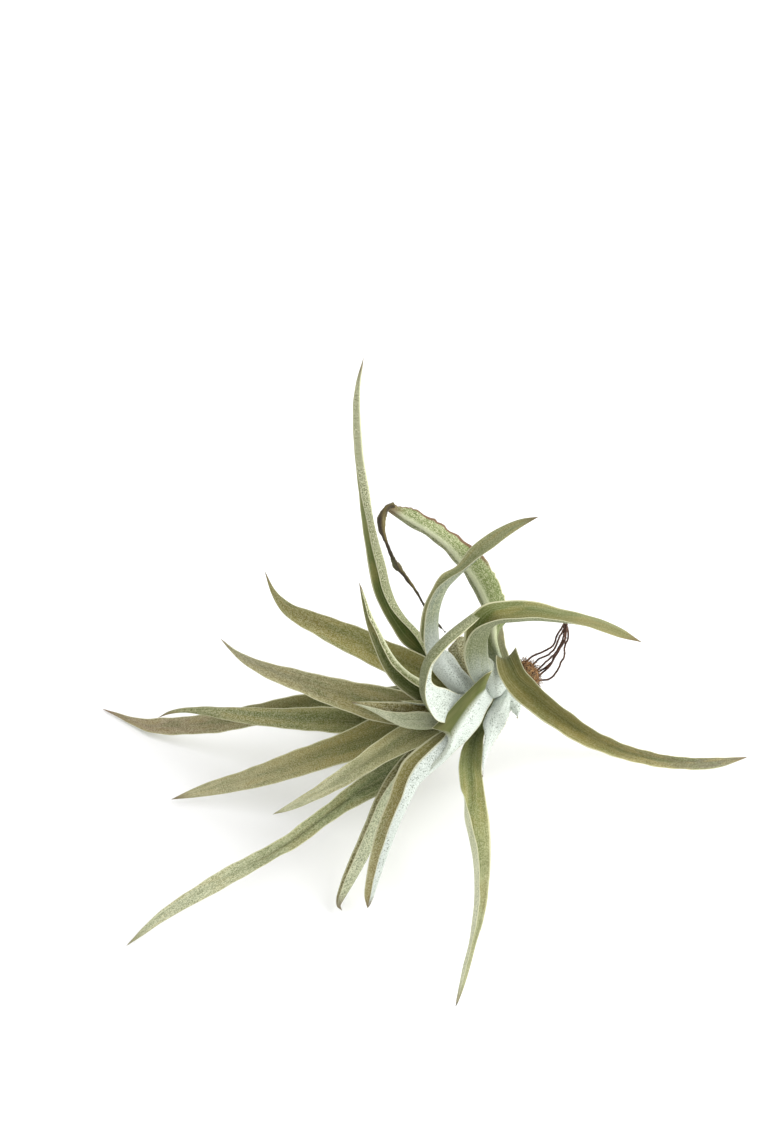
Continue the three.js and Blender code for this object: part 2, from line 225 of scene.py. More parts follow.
class Finish(Graph):
    """A material with a Principled shader."""

    def __init__(self, name, **constants):
        self.material = bpy.data.materials.new(name)
        self.material.use_nodes = True
        super().__init__(self.material.node_tree)
        self.shader = self.tree.nodes["Principled BSDF"]
        for socket, value in constants.items():
            self.shader.inputs[socket.replace("_", " ")].default_value = value

    def mix(self, factor, first, second):
        numbers = {0: factor, 6: first, 7: second}
        return self.node("ShaderNodeMix", {"data_type": "RGBA"}, numbers, output=2)

    def rise(self, value, low, high):
        """0 below low, 1 above high, and a smooth step between them. Falls where low is the larger."""
        numbers = {"Value": value, "From Min": low, "From Max": high}
        return self.node("ShaderNodeMapRange", {"interpolation_type": "SMOOTHSTEP"}, numbers)

    def scaled(self, vector, factors):
        return self.node("ShaderNodeVectorMath", {"operation": "MULTIPLY"}, {0: vector, 1: factors})

    def noise(self, vector, scale, detail=2, roughness=0.5):
        numbers = {"Vector": vector, "Scale": scale, "Detail": detail, "Roughness": roughness}
        return self.node("ShaderNodeTexNoise", None, numbers)

    def bump(self, height, strength):
        numbers = {"Height": height, "Distance": RELIEF * MM, "Strength": strength}
        return self.node("ShaderNodeBump", None, numbers)

    def where(self):
        """The point's own place, in metres."""
        return self.node("ShaderNodeTexCoord", output="Object")

    def finish(self, **sockets):
        for socket, value in sockets.items():
            self.feed(self.shader.inputs[socket.replace("_", " ")], value)
        return self.material


def stem_skin():
    skin = Finish("stem skin", Roughness=0.8)
    mottle = skin.noise(skin.where(), 700)
    return skin.finish(
        Base_Color=skin.mix(mottle, paint("#a9a68a"), paint("#dfe2d6")),
        Normal=skin.bump(mottle, 0.6),
    )


def stem():
    share = np.linspace(0, 1, STEM_ROWS)
    along = share * STEM_LENGTH
    radius = stem_radius(along) - SCAR_DEPTH * (along / SCAR_SPACING % 1)
    radius *= rounded(1 - share, 12, 0.02) * rounded(share, 60, 0.02)
    points = round_tube(on_stem(along[:, None]), radius, STEM_SIDES)
    mesh = mesh_of("stem skin", points, tube_faces(STEM_ROWS, STEM_SIDES))
    piece("stem_skin", mesh, stem_skin(), "stem")


stem()

# ------------------------------------------------------------------------------------ how a leaf is made
# Each leaf is one piece: a white sheath that clasps the stem, and a channelled blade with pale margins and
# a fine point, covered with scales that give it a silvery grain. It is made from its two margins and its
# middle line. With the second margin to the right of the way it grows, its inner face is to the front.

CLEARANCE = 0.3
LEAF_THICKNESS = 1.3
TIP_THICKNESS = 0.5
MARGIN_THICKNESS = 0.12
FOOT_WIDTH = 0.7
LEAF_ROWS, LEAF_COLUMNS = 240, 29
MARGIN_WAVE = 0.2
WAVE_LENGTHS = (31, 17, 9)
KEEL_HEIGHT = 0.2
KEEL_WIDTH = 0.16
FULL_WAVES = 4  # the half width from which a leaf has its full waves and ridge
TEARS = 70
DARK_VEIN = "#3f4520"


def spline(points, places):
    """Points along a centripetal Catmull-Rom curve, at places from 0 to 1."""
    knots = np.array(points, float)
    spans = len(knots) - 1
    knots = np.vstack((2 * knots[0] - knots[1], knots, 2 * knots[-1] - knots[-2]))
    found = []
    for place_on_curve in places:
        span = min(int(place_on_curve * spans), spans - 1)
        t = place_on_curve * spans - span
        p0, p1, p2, p3 = knots[span:span + 4]
        d0, d1, d2 = (max(np.linalg.norm(q - p) ** 0.5, 1e-4) for p, q in ((p0, p1), (p1, p2), (p2, p3)))
        start = ((p1 - p0) / d0 - (p2 - p0) / (d0 + d1) + (p2 - p1) / d1) * d1
        end = ((p2 - p1) / d1 - (p3 - p1) / (d1 + d2) + (p3 - p2) / d2) * d1
        step = 3 * t ** 2 - 2 * t ** 3
        sway = (t ** 3 - 2 * t ** 2 + t) * start + (t ** 3 - t ** 2) * end
        found.append((1 - step) * p1 + step * p2 + sway)
    return np.array(found)


def waves(distance, rng):
    """A gentle irregular wave along a margin, between about -1 and 1."""
    turns = [distance / length * math.tau for length in WAVE_LENGTHS]
    return sum(np.sin(turn + rng.uniform(0, math.tau)) for turn in turns) / 2


def leaf_skin(name, size, colours, whites, bloom, dark, half, scorched, keel):
    """A leaf's skin. `across` runs from margin to margin, -1 to 1, and `share` from foot to tip, 0 to 1."""
    skin = Finish(name, Specular_IOR_Level=0.25, Sheen_Weight=0.06, Sheen_Roughness=0.5)
    spot = skin.node("ShaderNodeAttribute", {"attribute_name": "blade"}, output="Vector")
    across, share, face = (skin.node("ShaderNodeSeparateXYZ", None, {0: spot}, output=i) for i in range(3))
    inner, pale, outer, tip = colours
    width, length, seed = size
    run = skin.node("ShaderNodeCombineXYZ", None, {0: across * (width / 2), 1: share * length, 2: seed})
    edge = abs(across)
    outside = skin.rise(face, 0.02, -0.02)

    # lengthwise veins, crosswise ripples, broad patches and scales, each so many to the millimetre across
    # and along, and flecks
    veins = skin.noise(skin.scaled(run, (2.8, 0.03, 1)), 1, 3, 0.6)
    ripples = skin.noise(skin.scaled(run, (0.5, 3.5, 1)), 1, 1, 0.5)
    patches = skin.noise(skin.scaled(run, (0.3, 0.08, 1)), 1, 2, 0.5)
    scales = skin.noise(skin.scaled(run, (4.2, 2.1, 1)), 1, 1, 0.5)
    flecks = skin.node("ShaderNodeTexVoronoi", None, {"Vector": skin.where(), "Scale": 1450})

    # the inner face, its green channel with painted shade, the outer face, and painted shade deep in the
    # rosette
    blade = skin.mix(skin.rise(share, 0.35, 0.9), paint(inner), paint(pale))
    blade = skin.mix(skin.rise(patches, 0.48, 0.66) * 0.4, blade, paint("#968748"))
    blade = skin.mix(skin.rise(patches, 0.5, 0.34) * 0.4, blade, paint("#5a662f"))
    # the channel: its own darker green, deepened with painted shade
    channel = skin.rise(edge + veins * 0.2, 0.75, 0.2) * skin.rise(share, 1, 0.3)
    blade = skin.mix(channel * dark, blade, paint("#42511a"))
    blade = skin.mix(skin.rise(edge + veins * 0.2, 0.7, 1.1) * 0.3, blade, paint("#a09d6c"))
    back = skin.mix(skin.rise(patches, 0.35, 0.7) * 0.3, paint(outer), paint("#7f8a58"))
    colour = skin.mix(outside, blade, back)
    # painted shade, darker towards the foot deep in the rosette, and less on the back
    shade = skin.rise(share, 0.55, 0.05) * min(dark * 1.5, 0.7) * (1 - outside * 0.5)
    colour = skin.mix(shade, colour, paint("#3b4512"))
    # colour on half a face; on the keeled sheath and the snapped leaf it is painted shade on the half of
    # the back that faces away from the light
    if half:
        side, inside, border, fade, strength, hue, end = half
        tinted_or_shaded = skin.rise(across * side, border - fade, border + fade)
        tinted_or_shaded = tinted_or_shaded * (1 - outside if inside else outside) * strength
        tinted_or_shaded = tinted_or_shaded * (skin.rise(share, end, end - 0.06) * 0.65 + 0.35)
        tint_or_shade = skin.mix(skin.rise(patches, 0.35, 0.65) * 0.35, paint(hue), paint("#8d8458"))
        tint_or_shade = skin.mix(skin.rise(veins, 0.5, 0.7) * 0.3, tint_or_shade, paint(DARK_VEIN))
        colour = skin.mix(tinted_or_shaded, colour, tint_or_shade)

    # the veins and the silvery scales
    colour = skin.mix(skin.rise(veins, 0.5, 0.7) * 0.32, colour, paint(DARK_VEIN))
    colour = skin.mix(skin.rise(veins, 0.5, 0.3) * 0.2, colour, paint("#c4bf93"))
    frost = (outside * (bloom[1] - bloom[0]) + bloom[0]) * (skin.rise(share, 0.1, 0.9) * 1.1 + 0.4)
    light = skin.rise(scales + ripples * 0.2, 0.58, 0.7)
    colour = skin.mix(light * frost, colour, paint("#e0dfbd"))
    colour = skin.mix(skin.rise(scales, 0.5, 0.32) * frost, colour, paint("#2d3415"))

    # the white, mottled sheath
    reach = outside * (whites[1] - whites[0]) + whites[0]
    white = skin.rise(share + patches * 0.1 - reach, 0.18, -0.06)
    mottle = skin.mix(skin.rise(scales, 0.62, 0.38) * 0.5, paint("#d6ddd5"), paint("#949f93"))
    speckled = skin.rise(flecks, 0.36, 0.2) * skin.rise(patches, 0.4, 0.56)
    mottle = skin.mix(speckled * 0.75, mottle, paint("#525d49"))
    # the same half-face colour or painted shade over the white sheath
    if half:
        mottle = skin.mix(tinted_or_shaded, mottle, tint_or_shade)
    colour = skin.mix(white, colour, mottle)

    # the painted highlight along the ridge on the back, the margins and the dry tip
    if keel:
        # a painted highlight along the ridge of the back
        ridge = skin.rise(abs(across - keel) + veins * 0.3, 0.5, 0.15) * skin.rise(share, 0.12, 0.3)
        colour = skin.mix(ridge * outside * 0.8, colour, paint("#dadebb"))
    margin = skin.rise(edge + veins * 0.03, 0.95, 0.985)
    colour = skin.mix(margin * 0.7, colour, paint("#d2d0ac"))
    if scorched:
        side, start = scorched
        burnt = skin.rise(across * side + patches * 0.3, 0.96, 1.06) * skin.rise(share, start, start + 0.1)
        colour = skin.mix(burnt * 0.9, colour, paint("#6d4c36"))
    dry = skin.rise(share + patches * 0.06, 0.95, 1.03)
    colour = skin.mix(dry * 0.8, colour, paint(tip))

    height = skin.bump(scales * 0.6 + veins * 1.2 + ripples * 0.4, 0.35)
    return skin.finish(Base_Color=colour, Roughness=0.8 - scales * 0.15, Normal=height)


def torn(line, middle, depth, rng):
    """A margin with ragged bites out of it, of up to so many millimetres."""
    depths = rng.uniform(0, depth, TEARS + 1)
    bites = np.interp(np.linspace(0, TEARS, len(line)), np.arange(TEARS + 1), depths)
    return line + unit(middle - line + 1e-9) * bites[:, None]


def blade_shape(lines, crease, keel, ragged, wave, rng):
    """A leaf's points on both its faces, their places on the blade, its greatest width and its length."""
    places = np.linspace(0, 1, LEAF_ROWS)
    first, middle, second = (spline(line, places) for line in lines)
    first = torn(first, middle, ragged[0], rng)
    second = torn(second, middle, ragged[1], rng)
    across = np.linspace(-1, 1, LEAF_COLUMNS)[:, None]
    round_section = middle[:, None] * (1 - across ** 2) + first[:, None] * across * (across - 1) / 2
    round_section = round_section + second[:, None] * across * (across + 1) / 2
    side = np.where(across < 0, first[:, None], second[:, None])
    sharp_section = middle[:, None] + (side - middle[:, None]) * abs(across)
    grid = round_section + (sharp_section - round_section) * crease

    walked = np.concatenate(([0], np.cumsum(np.linalg.norm(np.diff(middle, axis=0), axis=1))))
    share = walked / walked[-1]
    half_width = (np.linalg.norm(first - middle, axis=1) + np.linalg.norm(second - middle, axis=1)) / 2
    across = across[:, 0]
    inward = np.cross(np.gradient(grid, axis=1), np.gradient(grid, axis=0))
    inward[-1] = inward[-2]
    inward = unit(inward)
    lift = waves(walked, rng)[:, None] * np.minimum(across, 0) ** 4
    lift = (lift + waves(walked, rng)[:, None] * np.maximum(across, 0) ** 4) * wave
    ridge = KEEL_HEIGHT * np.exp(-((across - keel) / KEEL_WIDTH) ** 2)
    lift = (lift - ridge) * np.minimum(half_width, FULL_WAVES)[:, None] / FULL_WAVES
    grid = grid + inward * lift[..., None]
    depth = LEAF_THICKNESS / 2 * (1 - (1 - TIP_THICKNESS) * share)[:, None]
    depth = depth * (1 - (1 - MARGIN_THICKNESS) * across ** 2)
    depth = np.minimum(depth, half_width[:, None] / 2 + 0.05)[..., None]
    points = np.concatenate((grid + inward * depth, (grid - inward * depth)[:, ::-1]), 1)

    face = np.concatenate((np.ones(LEAF_COLUMNS), -np.ones(LEAF_COLUMNS)))
    both = np.concatenate((across, across[::-1]))
    on_blade = np.stack(np.broadcast_arrays(both[None], share[:, None], face[None]), -1)
    return points, on_blade, 2 * half_width.max(), walked[-1]


def leaf(
    name, first, middle, second, slot, inner, end=None, outer=None, pale=None, tip="#6f5a3e",
    bloom=(0.28, 0.4), whites=(-0.1, 0), dark=0.5, half=None, scorched=None, keel=0, crease=0,
    ragged=(0, 0), wave=MARGIN_WAVE, at=None, node=None,
):
    """A leaf or a part of one, through its three lines, which meet at its end if it has one.

    inner, pale, outer, tip: the colours of its inner face, of that face higher up, of its back and its tip
    bloom, whites: on its inner face and on its back, how thick the scales are and how far up it is white
    dark: how dark its channel is, partly with painted shade, and the painted shade towards its foot
    half: a colour, or painted shade, on half a face: its side, if it is the inner face, border, fade,
    strength, colour and end
    scorched: the side of a burnt margin, and where it starts
    keel: where the ridge lies across its back. One that isn't at 0 has a painted highlight along it.
    crease: 0 for a round channel, 1 for a sharp fold
    ragged, wave: how deep its two margins are torn, and how high they wave
    at: how far along the stem it springs from
    """
    rng = np.random.default_rng([ord(letter) for letter in name])
    lines = [line + [end] if end else line for line in (first, middle, second)]
    lines = [[place(seen) for seen in line] for line in lines]
    if at is not None:
        out = away_from_stem(lines[1][0] - on_stem(at))
        foot = on_stem(at) + out * (stem_radius(at) + LEAF_THICKNESS / 2 + CLEARANCE)
        lines = [[foot + (line[0] - lines[1][0]) * FOOT_WIDTH, *line] for line in lines]
    points, on_blade, width, length = blade_shape(lines, crease, keel, ragged, wave, rng)
    mesh = mesh_of(f"{name} skin", points, tube_faces(LEAF_ROWS, 2 * LEAF_COLUMNS))
    layer = mesh.attributes.new("blade", "FLOAT_VECTOR", "POINT")
    layer.data.foreach_set("vector", on_blade.astype(np.float32).ravel())
    size = (width, length, rng.uniform(0, 50))
    colours = (inner, pale or inner, outer or inner, tip)
    skin = leaf_skin(f"{name} skin", size, colours, whites, bloom, dark, half, scorched, keel)
    piece(f"{name}_skin", mesh, skin, node or name)


# ---------------------------------------------------------------------------------- leaves on the right
# The oldest leaves that show. One springs from the stem's old end and sweeps down to the right, and one
# arches over to the right from a white, spotted sheath. Both are held by their clasping sheaths.

leaf(
    "sweeping_leaf", at=3, slot="leaf_olive",
    inner="#7d7438", pale="#504c36", outer="#8f9470", bloom=(0.15, 0.4), dark=0.32,
    first=[
        (16.7, 6, -12.4), (15.3, 9.7, -5.7), (15.2, 14.3, 4), (16.7, 10.3, 10.4), (18.7, 6.3, 14.7),
        (21.5, 2.8, 18), (26.3, -2, 19.2), (32, -6.5, 18.6), (38.2, -11, 15.9), (44.3, -14.8, 12.1),
        (50.8, -17.8, 7.1), (59, -20.2, 0), (70, -22.3, -11.2), (81, -22.5, -24.7),
    ],
    middle=[
        (16, 3.7, -8.6), (13.3, 7.3, -3), (12.3, 10.3, 4), (13.7, 7.3, 9.5), (15.7, 3.7, 12.5),
        (19.7, 0.5, 14.5), (24.3, -3.7, 15), (30, -8.2, 14), (36.7, -13, 11.5), (43.3, -17, 8),
        (50.3, -20.2, 3.5), (58.7, -22.5, -3), (70, -24.2, -13.5), (81.3, -24.1, -26),
    ],
    second=[
        (12.7, 5, -11.3), (9.7, 9, -5.2), (8.7, 11.5, 3.4), (8.8, 8.3, 9.8), (10.2, 4, 13.2),
        (13.3, -1.2, 15), (20, -7.2, 17.7), (26.7, -12, 17), (33.7, -16.3, 14.7), (40.8, -19.7, 11.4),
        (48.7, -22.5, 6.9), (57.8, -24.8, -0.1), (70.2, -26.5, -11.5), (82, -26.1, -25.3),
    ],
    end=(92.9, -22.3),
)
leaf(
    "arching_leaf", at=9, slot="leaf_green",
    inner="#48590f", pale="#767a50", outer="#7d8463", whites=(0.1, 0.24), bloom=(0.1, 0.3), dark=0.35,
    half=(1, True, -0.45, 0.35, 0.6, "#736b32", 2),
    first=[
        (11.7, 2, 1.4), (10.8, 4.7, 3.4), (7.3, 10, 4.9), (-1.3, 14, 10), (-2, 18, 13.5),
        (-0.3, 24, 14.7), (4.7, 28.5, 15.6), (13.3, 29.9, 13.5), (21.7, 29.6, 13.3), (30.3, 27.1, 12.5),
        (37, 25.6, 12.4), (43.7, 23.6, 11.7), (50.5, 20.6, 10.9),
    ],
    middle=[
        (9, -1.3, 5), (8.2, 2.3, 8.5), (6.2, 7.3, 10.8), (5.3, 12.7, 12.5), (5.5, 17.3, 13.5),
        (6.8, 20.9, 14.7), (9.5, 23.1, 16), (15.1, 23.7, 16.6), (21.9, 24, 16.2), (30, 23.2, 15.3),
        (36.7, 22.6, 14.7), (43.3, 21.6, 13.5), (50, 19.1, 12),
    ],
    second=[
        (4.7, -3.3, 2.4), (2.7, 0.3, 6.9), (-0.7, 6, 10.8), (-2.2, 12, 12.5), (-1, 17, 14.1),
        (2, 20.6, 17.6), (6.8, 22.7, 19.8), (14.1, 23.8, 21.2), (21.5, 24.2, 20.7), (29.8, 23.3, 19.1),
        (36.4, 21.9, 17.5), (42.8, 19.8, 15.4), (49.3, 17.6, 13.1),
    ],
    end=(57.3, 15.9, 10),
)

# --------------------------------------------------------------------------------- leaves that rise
# Living leaves that stand up from the rosette: the tall upright one, the one that winds up past the hook,
# the hook that curls over the heart, and a small one. They face left, with their pale backs to the right.

leaf(
    "upright_leaf", at=15, slot="leaf_green", keel=0.02,
    inner="#465a0c", pale="#8d9164", outer="#868d5f", whites=(0.05, 0.1), bloom=(0.05, 1), dark=0.4,
    first=[
        (0, 3.3, -12.3), (-12, 9.7, -11.7), (-22, 15, -9.5), (-26.2, 21, -12.1), (-29.5, 26.8, -13.2),
        (-32.2, 33, -12.3), (-33.8, 40.3, -12.6), (-35, 48.3, -15), (-36.3, 57.3, -15.8),
        (-37.1, 66.3, -16), (-38.3, 76.3, -16.4), (-39, 86.7, -16.6), (-39, 95, -16.6),
        (-37.8, 103.3, -16.4),
    ],
    middle=[
        (3.3, 1.3, -10), (-8, 7.3, -9), (-17.8, 19, -9.5), (-21.8, 23.5, -10), (-25.1, 28.7, -11),
        (-27.3, 34.7, -11.8), (-28.7, 41.3, -12.6), (-30.8, 48.7, -13.1), (-32.8, 57.3, -13.6),
        (-34, 66.3, -14), (-35.7, 76.3, -14.5), (-36.6, 86.7, -15), (-37, 95, -15.3),
        (-36.7, 103.3, -15.7),
    ],
    second=[
        (2, -1.3, -13.4), (-10, 5, -10.4), (-18.8, 18.7, -6.8), (-23.2, 23.2, -7.3), (-27.1, 28.5, -8.7),
        (-29.4, 34.3, -9.9), (-31, 40.5, -11.3), (-32.9, 48.2, -12.3), (-34.5, 56.7, -13.2),
        (-36.4, 65.3, -14), (-37.9, 76, -15), (-38.8, 86.3, -15.6), (-38.8, 95, -15.8),
        (-37.7, 103.3, -16),
    ],
    end=(-35.5, 110.8, -16),
)
leaf(
    "sinuous_leaf", at=16, slot="leaf_silver",
    inner="#646a3b", pale="#7f8257", outer="#858f7b", whites=(0.15, 0.35), bloom=(0.15, 0.35),
    first=[
        (3, 1.3, 0.1), (-2, 6.3, 4), (-7, 12.7, 3.3), (-16.2, 16.3, 3.2), (-16.4, 22.3, 1.3),
        (-15.6, 27.3, 0.1), (-12.7, 33.8, -1), (-9.7, 38.2, -0.2), (-4.5, 41.4, -1.4), (0.2, 47.5, 0.2),
        (6, 52, 1.9), (11.8, 55.2, 3.7), (17.2, 57.1, 5.6),
    ],
    middle=[
        (0.3, -0.7, 3), (-5, 4.7, 8), (-9, 9.7, 8.3), (-10.7, 15.7, 6.8), (-11.2, 22, 5),
        (-10.5, 27.7, 3.6), (-8, 34, 2.5), (-4.7, 37.7, 2), (-1, 41.2, 2), (2.7, 45, 2.3), (7.2, 49.2, 3),
        (12.7, 53.2, 4.4), (17.7, 55.9, 6),
    ],
    second=[
        (-2.3, -3, 0.4), (-7.8, 1, 5.5), (-12.3, 6.2, 6), (-15.2, 13.7, 6.8), (-15.2, 21.7, 5.5),
        (-14.3, 27, 4.1), (-11.5, 33.3, 3), (-7.8, 36.7, 2.9), (-3.2, 39.5, 3.2), (1.7, 43.2, 4.2),
        (7.7, 47.5, 4.6), (13.3, 51.7, 5.2), (18.1, 54.8, 6.3),
    ],
    end=(23, 57.8, 8),
)
leaf(
    "sinuous_leaf_bract", at=16, node="sinuous_leaf", slot="leaf_silver", ragged=(0.8, 0.8),
    inner="#8f8660", tip="#7d6a48", whites=(0, 0), bloom=(0.45, 0.45), dark=0.7,
    first=[(4, 5.3, -4), (2.3, 9.7, -4), (0.7, 14, -3.5), (-0.5, 16.8, -3), (-2, 18, -2.6)],
    middle=[(1.3, 2, -3), (-1.3, 7, -2.5), (-3.3, 11.7, -2), (-4.2, 14.7, -2), (-4.3, 16.3, -2)],
    second=[(-2, 0, -3), (-6, 5.3, -3), (-7.8, 10, -2.5), (-7.8, 13, -2.5), (-6.8, 14.5, -2.4)],
    end=(-3.7, 17.7, -2.2),
)
leaf(
    "hook_leaf", at=20, slot="leaf_silver",
    inner="#9ca288", outer="#656a48", whites=(0.6, -0.1), bloom=(0.1, 0.2),
    first=[
        (-1.3, -7, 1.3), (-5, -9.7, 12), (-9, -11, 19.2), (-12, -9.3, 23.8), (-14.3, -4.3, 27.7),
        (-14.5, 2, 28.9), (-13, 7.7, 28.8), (-10.5, 11.2, 27.4), (-7.5, 14.3, 25.7), (-3.8, 17.7, 23),
        (-0.3, 20.7, 19.6), (3.2, 24, 14.7),
    ],
    middle=[
        (0, -4, 2), (-5, -5.3, 10.5), (-9.7, -5.7, 16.5), (-13.3, -4.3, 20.5), (-15.8, -1.3, 23),
        (-16.2, 3.3, 24), (-15.3, 8.5, 24.3), (-13.2, 12.3, 24), (-10.2, 15.8, 22.7), (-6.5, 19.3, 20.5),
        (-2.7, 22.3, 17.5), (1.5, 25.5, 13.5),
    ],
    second=[
        (1.3, -1, 1.3), (-3.7, -1.3, 7.7), (-8, 0.5, 14.2), (-11.5, 1.5, 17.4), (-12.7, 3.2, 19),
        (-12.8, 5.8, 19), (-11.7, 9.3, 19.5), (-9.5, 12.2, 19.6), (-6.8, 15.3, 18.6), (-3.5, 18.5, 16.8),
        (-0.2, 21.5, 14.2), (3.2, 24.7, 11.1),
    ],
    end=(6, 28.3, 7),
)
leaf(
    "small_upright_leaf", at=30, slot="leaf_green", keel=0.4,
    inner="#424f12", pale="#666c3c", outer="#686c3c", whites=(0.05, 0.1), bloom=(0.1, 0.5),
    first=[
        (-10, -6, 2.6), (-17.7, -3.8, 9), (-22.8, -0.2, 10), (-26.5, 3.5, 11), (-29.5, 8.2, 11.3),
        (-32.2, 14.8, 11), (-34.5, 21.8, 10.6), (-36.1, 29.7, 9.9),
    ],
    middle=[
        (-8.7, -3.7, 5), (-15.5, 1.8, 9), (-20.5, 5, 10), (-24.2, 8.5, 11), (-27.3, 12.8, 11.3),
        (-30.2, 18.5, 11), (-33, 24.5, 10.6), (-35.2, 30.8, 10),
    ],
    second=[
        (-9, -3.3, 7.5), (-16.1, 0.5, 13.3), (-21.6, 3.9, 14.2), (-25.4, 7.7, 14.9), (-28.1, 12, 14.9),
        (-30.7, 17.8, 14.2), (-33.5, 23.9, 13.1), (-35.5, 30.5, 11.3),
    ],
    end=(-37, 35.8, 9),
)
leaf(
    "young_leaf", at=32, slot="leaf_silver",
    inner="#5e541f", outer="#b4b99c", bloom=(0.28, 0.3),
    first=[
        (-7.7, -8, 9), (-12, -7.7, 12.5), (-16.7, -7.1, 14.5), (-21.7, -7.4, 16), (-26.7, -7.1, 17),
        (-31.2, -6.1, 17.2), (-35.3, -5.1, 17),
    ],
    middle=[
        (-7.7, -11.7, 8), (-12, -12.2, 11), (-16.7, -12.5, 13), (-21.7, -11.9, 14.5), (-26.7, -9.8, 15.5),
        (-31.3, -7.3, 16.5), (-35.3, -5.5, 16.8),
    ],
    second=[
        (-8, -4.7, 5.5), (-12.3, -3.8, 7), (-17.3, -3.7, 8.5), (-23, -4, 10.5), (-28.3, -3.9, 12.5),
        (-33.7, -3.9, 14.5), (-36.8, -3.9, 15.6),
    ],
    end=(-39.5, -4.1, 16),
)
leaf(
    "heart_leaf", at=36, slot="leaf_green",
    inner="#80804f", outer="#b0b7a0", whites=(0.3, 0.4),
    first=[(-12.7, -3.5, 10.2), (-15.4, -4.4, 12.8), (-19.6, -4.1, 13.9)],
    middle=[(-13.8, -4.5, 8.9), (-16.4, -4.6, 11.6), (-19.9, -4.1, 13.1)],
    second=[(-15.1, -3.8, 7.5), (-17.1, -3.5, 10.6), (-19.9, -3.5, 12.4)],
    end=(-23.5, -3.5, 14),
)

# --------------------------------------------------------------------------------- leaves on the left
# A fan of leaves that lean out over the left side, their olive inner faces up. Two of them reach the
# surface with their tips.

LEFT = dict(slot="leaf_olive", outer="#8d9068")
leaf(
    "upper_left_leaf", at=23, crease=0.4, **LEFT,
    inner="#9a924f", pale="#8c8449", dark=0.3,
    first=[
        (-3.3, -3.3, -11.3), (-13, -0.3, -4.2), (-20.7, 2.5, -4), (-28.7, 6, -5.8), (-36.3, 10, -8.4),
        (-43.7, 13.8, -11.3), (-51.2, 18.2, -14.3), (-57.5, 21.7, -17.4), (-62.8, 26.1, -21),
        (-66.2, 32, -22.7),
    ],
    middle=[
        (-2.7, -1.3, -7), (-11.3, 3.7, -6), (-19, 7.3, -6.5), (-27, 11.2, -8), (-34.7, 15, -10.5),
        (-42, 18.3, -13.5), (-49.7, 21.9, -16.5), (-56.3, 24.8, -19), (-61.8, 28.5, -21),
        (-65.5, 32.8, -22.7),
    ],
    second=[
        (-1.7, 0.3, -11.5), (-10, 8, -4.6), (-17.7, 12.5, -4.6), (-25.7, 15.7, -4.3), (-33.2, 19.5, -7.2),
        (-40.5, 22.2, -10.1), (-48.2, 24.8, -13.1), (-55.2, 27.2, -16.3), (-60.8, 29.6, -18.6),
        (-64.9, 33.3, -21.8),
    ],
    end=(-68.5, 39.7, -24),
)
leaf(
    "left_leaf", at=28, crease=0.3, **LEFT,
    inner="#938a5c", pale="#9f9878", dark=0.3,
    first=[
        (-8, -8.7, -4.3), (-15, -12, 1.2), (-24, -11.8, 2.2), (-32.7, -10.1, 2.4), (-40.8, -7.2, 2.4),
        (-48.7, -4.3, 1.3), (-56.2, -1.1, -0.3), (-63.5, 2, -2.6), (-70.5, 5.5, -5.1), (-76.2, 9.3, -8),
        (-80.5, 13.7, -8.5),
    ],
    middle=[
        (-8, -6.3, -2), (-15.3, -6.3, -0.5), (-23.7, -5.8, 0.5), (-31.8, -4.3, 0), (-39.8, -2.3, -1),
        (-47.5, -0.1, -2), (-55, 2.3, -3.5), (-62.2, 4.8, -5), (-69.2, 7.8, -6.5), (-75.2, 10.9, -8),
        (-79.8, 14.1, -8.7),
    ],
    second=[
        (-8, -4, -4.3), (-15.3, -1, 1.9), (-23.3, 0, 2.6), (-31, 1.7, 1.5), (-38.7, 2.7, 2.2),
        (-46.2, 4.3, 0.8), (-53.8, 6, -0.7), (-61, 7.7, -2.6), (-68.1, 9.3, -4.1), (-74.5, 11.5, -6.3),
        (-79.4, 14.1, -8),
    ],
    end=(-83.2, 17.1, -9),
)
leaf(
    "brown_tipped_leaf", at=21, slot="leaf_olive",
    inner="#8b8a58", pale="#a18c72", outer="#8d8e68", tip="#74503e",
    first=[
        (-9, -6, -13.4), (-23.3, -7.3, -9.7), (-41.7, -7.8, -16.4), (-54.7, -8.8, -21.8),
        (-63.5, -10.2, -26.6), (-71.8, -11.9, -31.6), (-78.2, -13.2, -35.1), (-85.8, -14.4, -38.7),
        (-93.8, -14.9, -42.5), (-101.5, -14.8, -46), (-107.5, -13.9, -49.1), (-113, -11.4, -53.1),
        (-118, -8.7, -56.5),
    ],
    middle=[
        (-9, -4, -9), (-23.3, -3.3, -13), (-41.7, -3.7, -20.5), (-55, -5, -26), (-64, -6.5, -30.5),
        (-72.8, -8.3, -35), (-79.3, -9.9, -38), (-87, -11.3, -41.5), (-94.7, -11.9, -45),
        (-102, -12.1, -48.3), (-107.7, -11.9, -51), (-113.2, -10.1, -54.2), (-118.2, -8.1, -57),
    ],
    second=[
        (-9, -2, -13.4), (-23.3, 0.7, -9.7), (-41.7, 0.5, -16.4), (-55.3, -1.4, -21.6),
        (-64.7, -3.1, -26.4), (-73.8, -5.2, -31.2), (-80.5, -6.9, -34.7), (-88.2, -8.1, -38.7),
        (-95.5, -8.8, -42.6), (-102.5, -9.3, -46.4), (-107.8, -9.6, -49.3), (-113.3, -8.8, -53),
        (-118.3, -7.4, -56.5),
    ],
    end=(-122.5, -6.3),
)
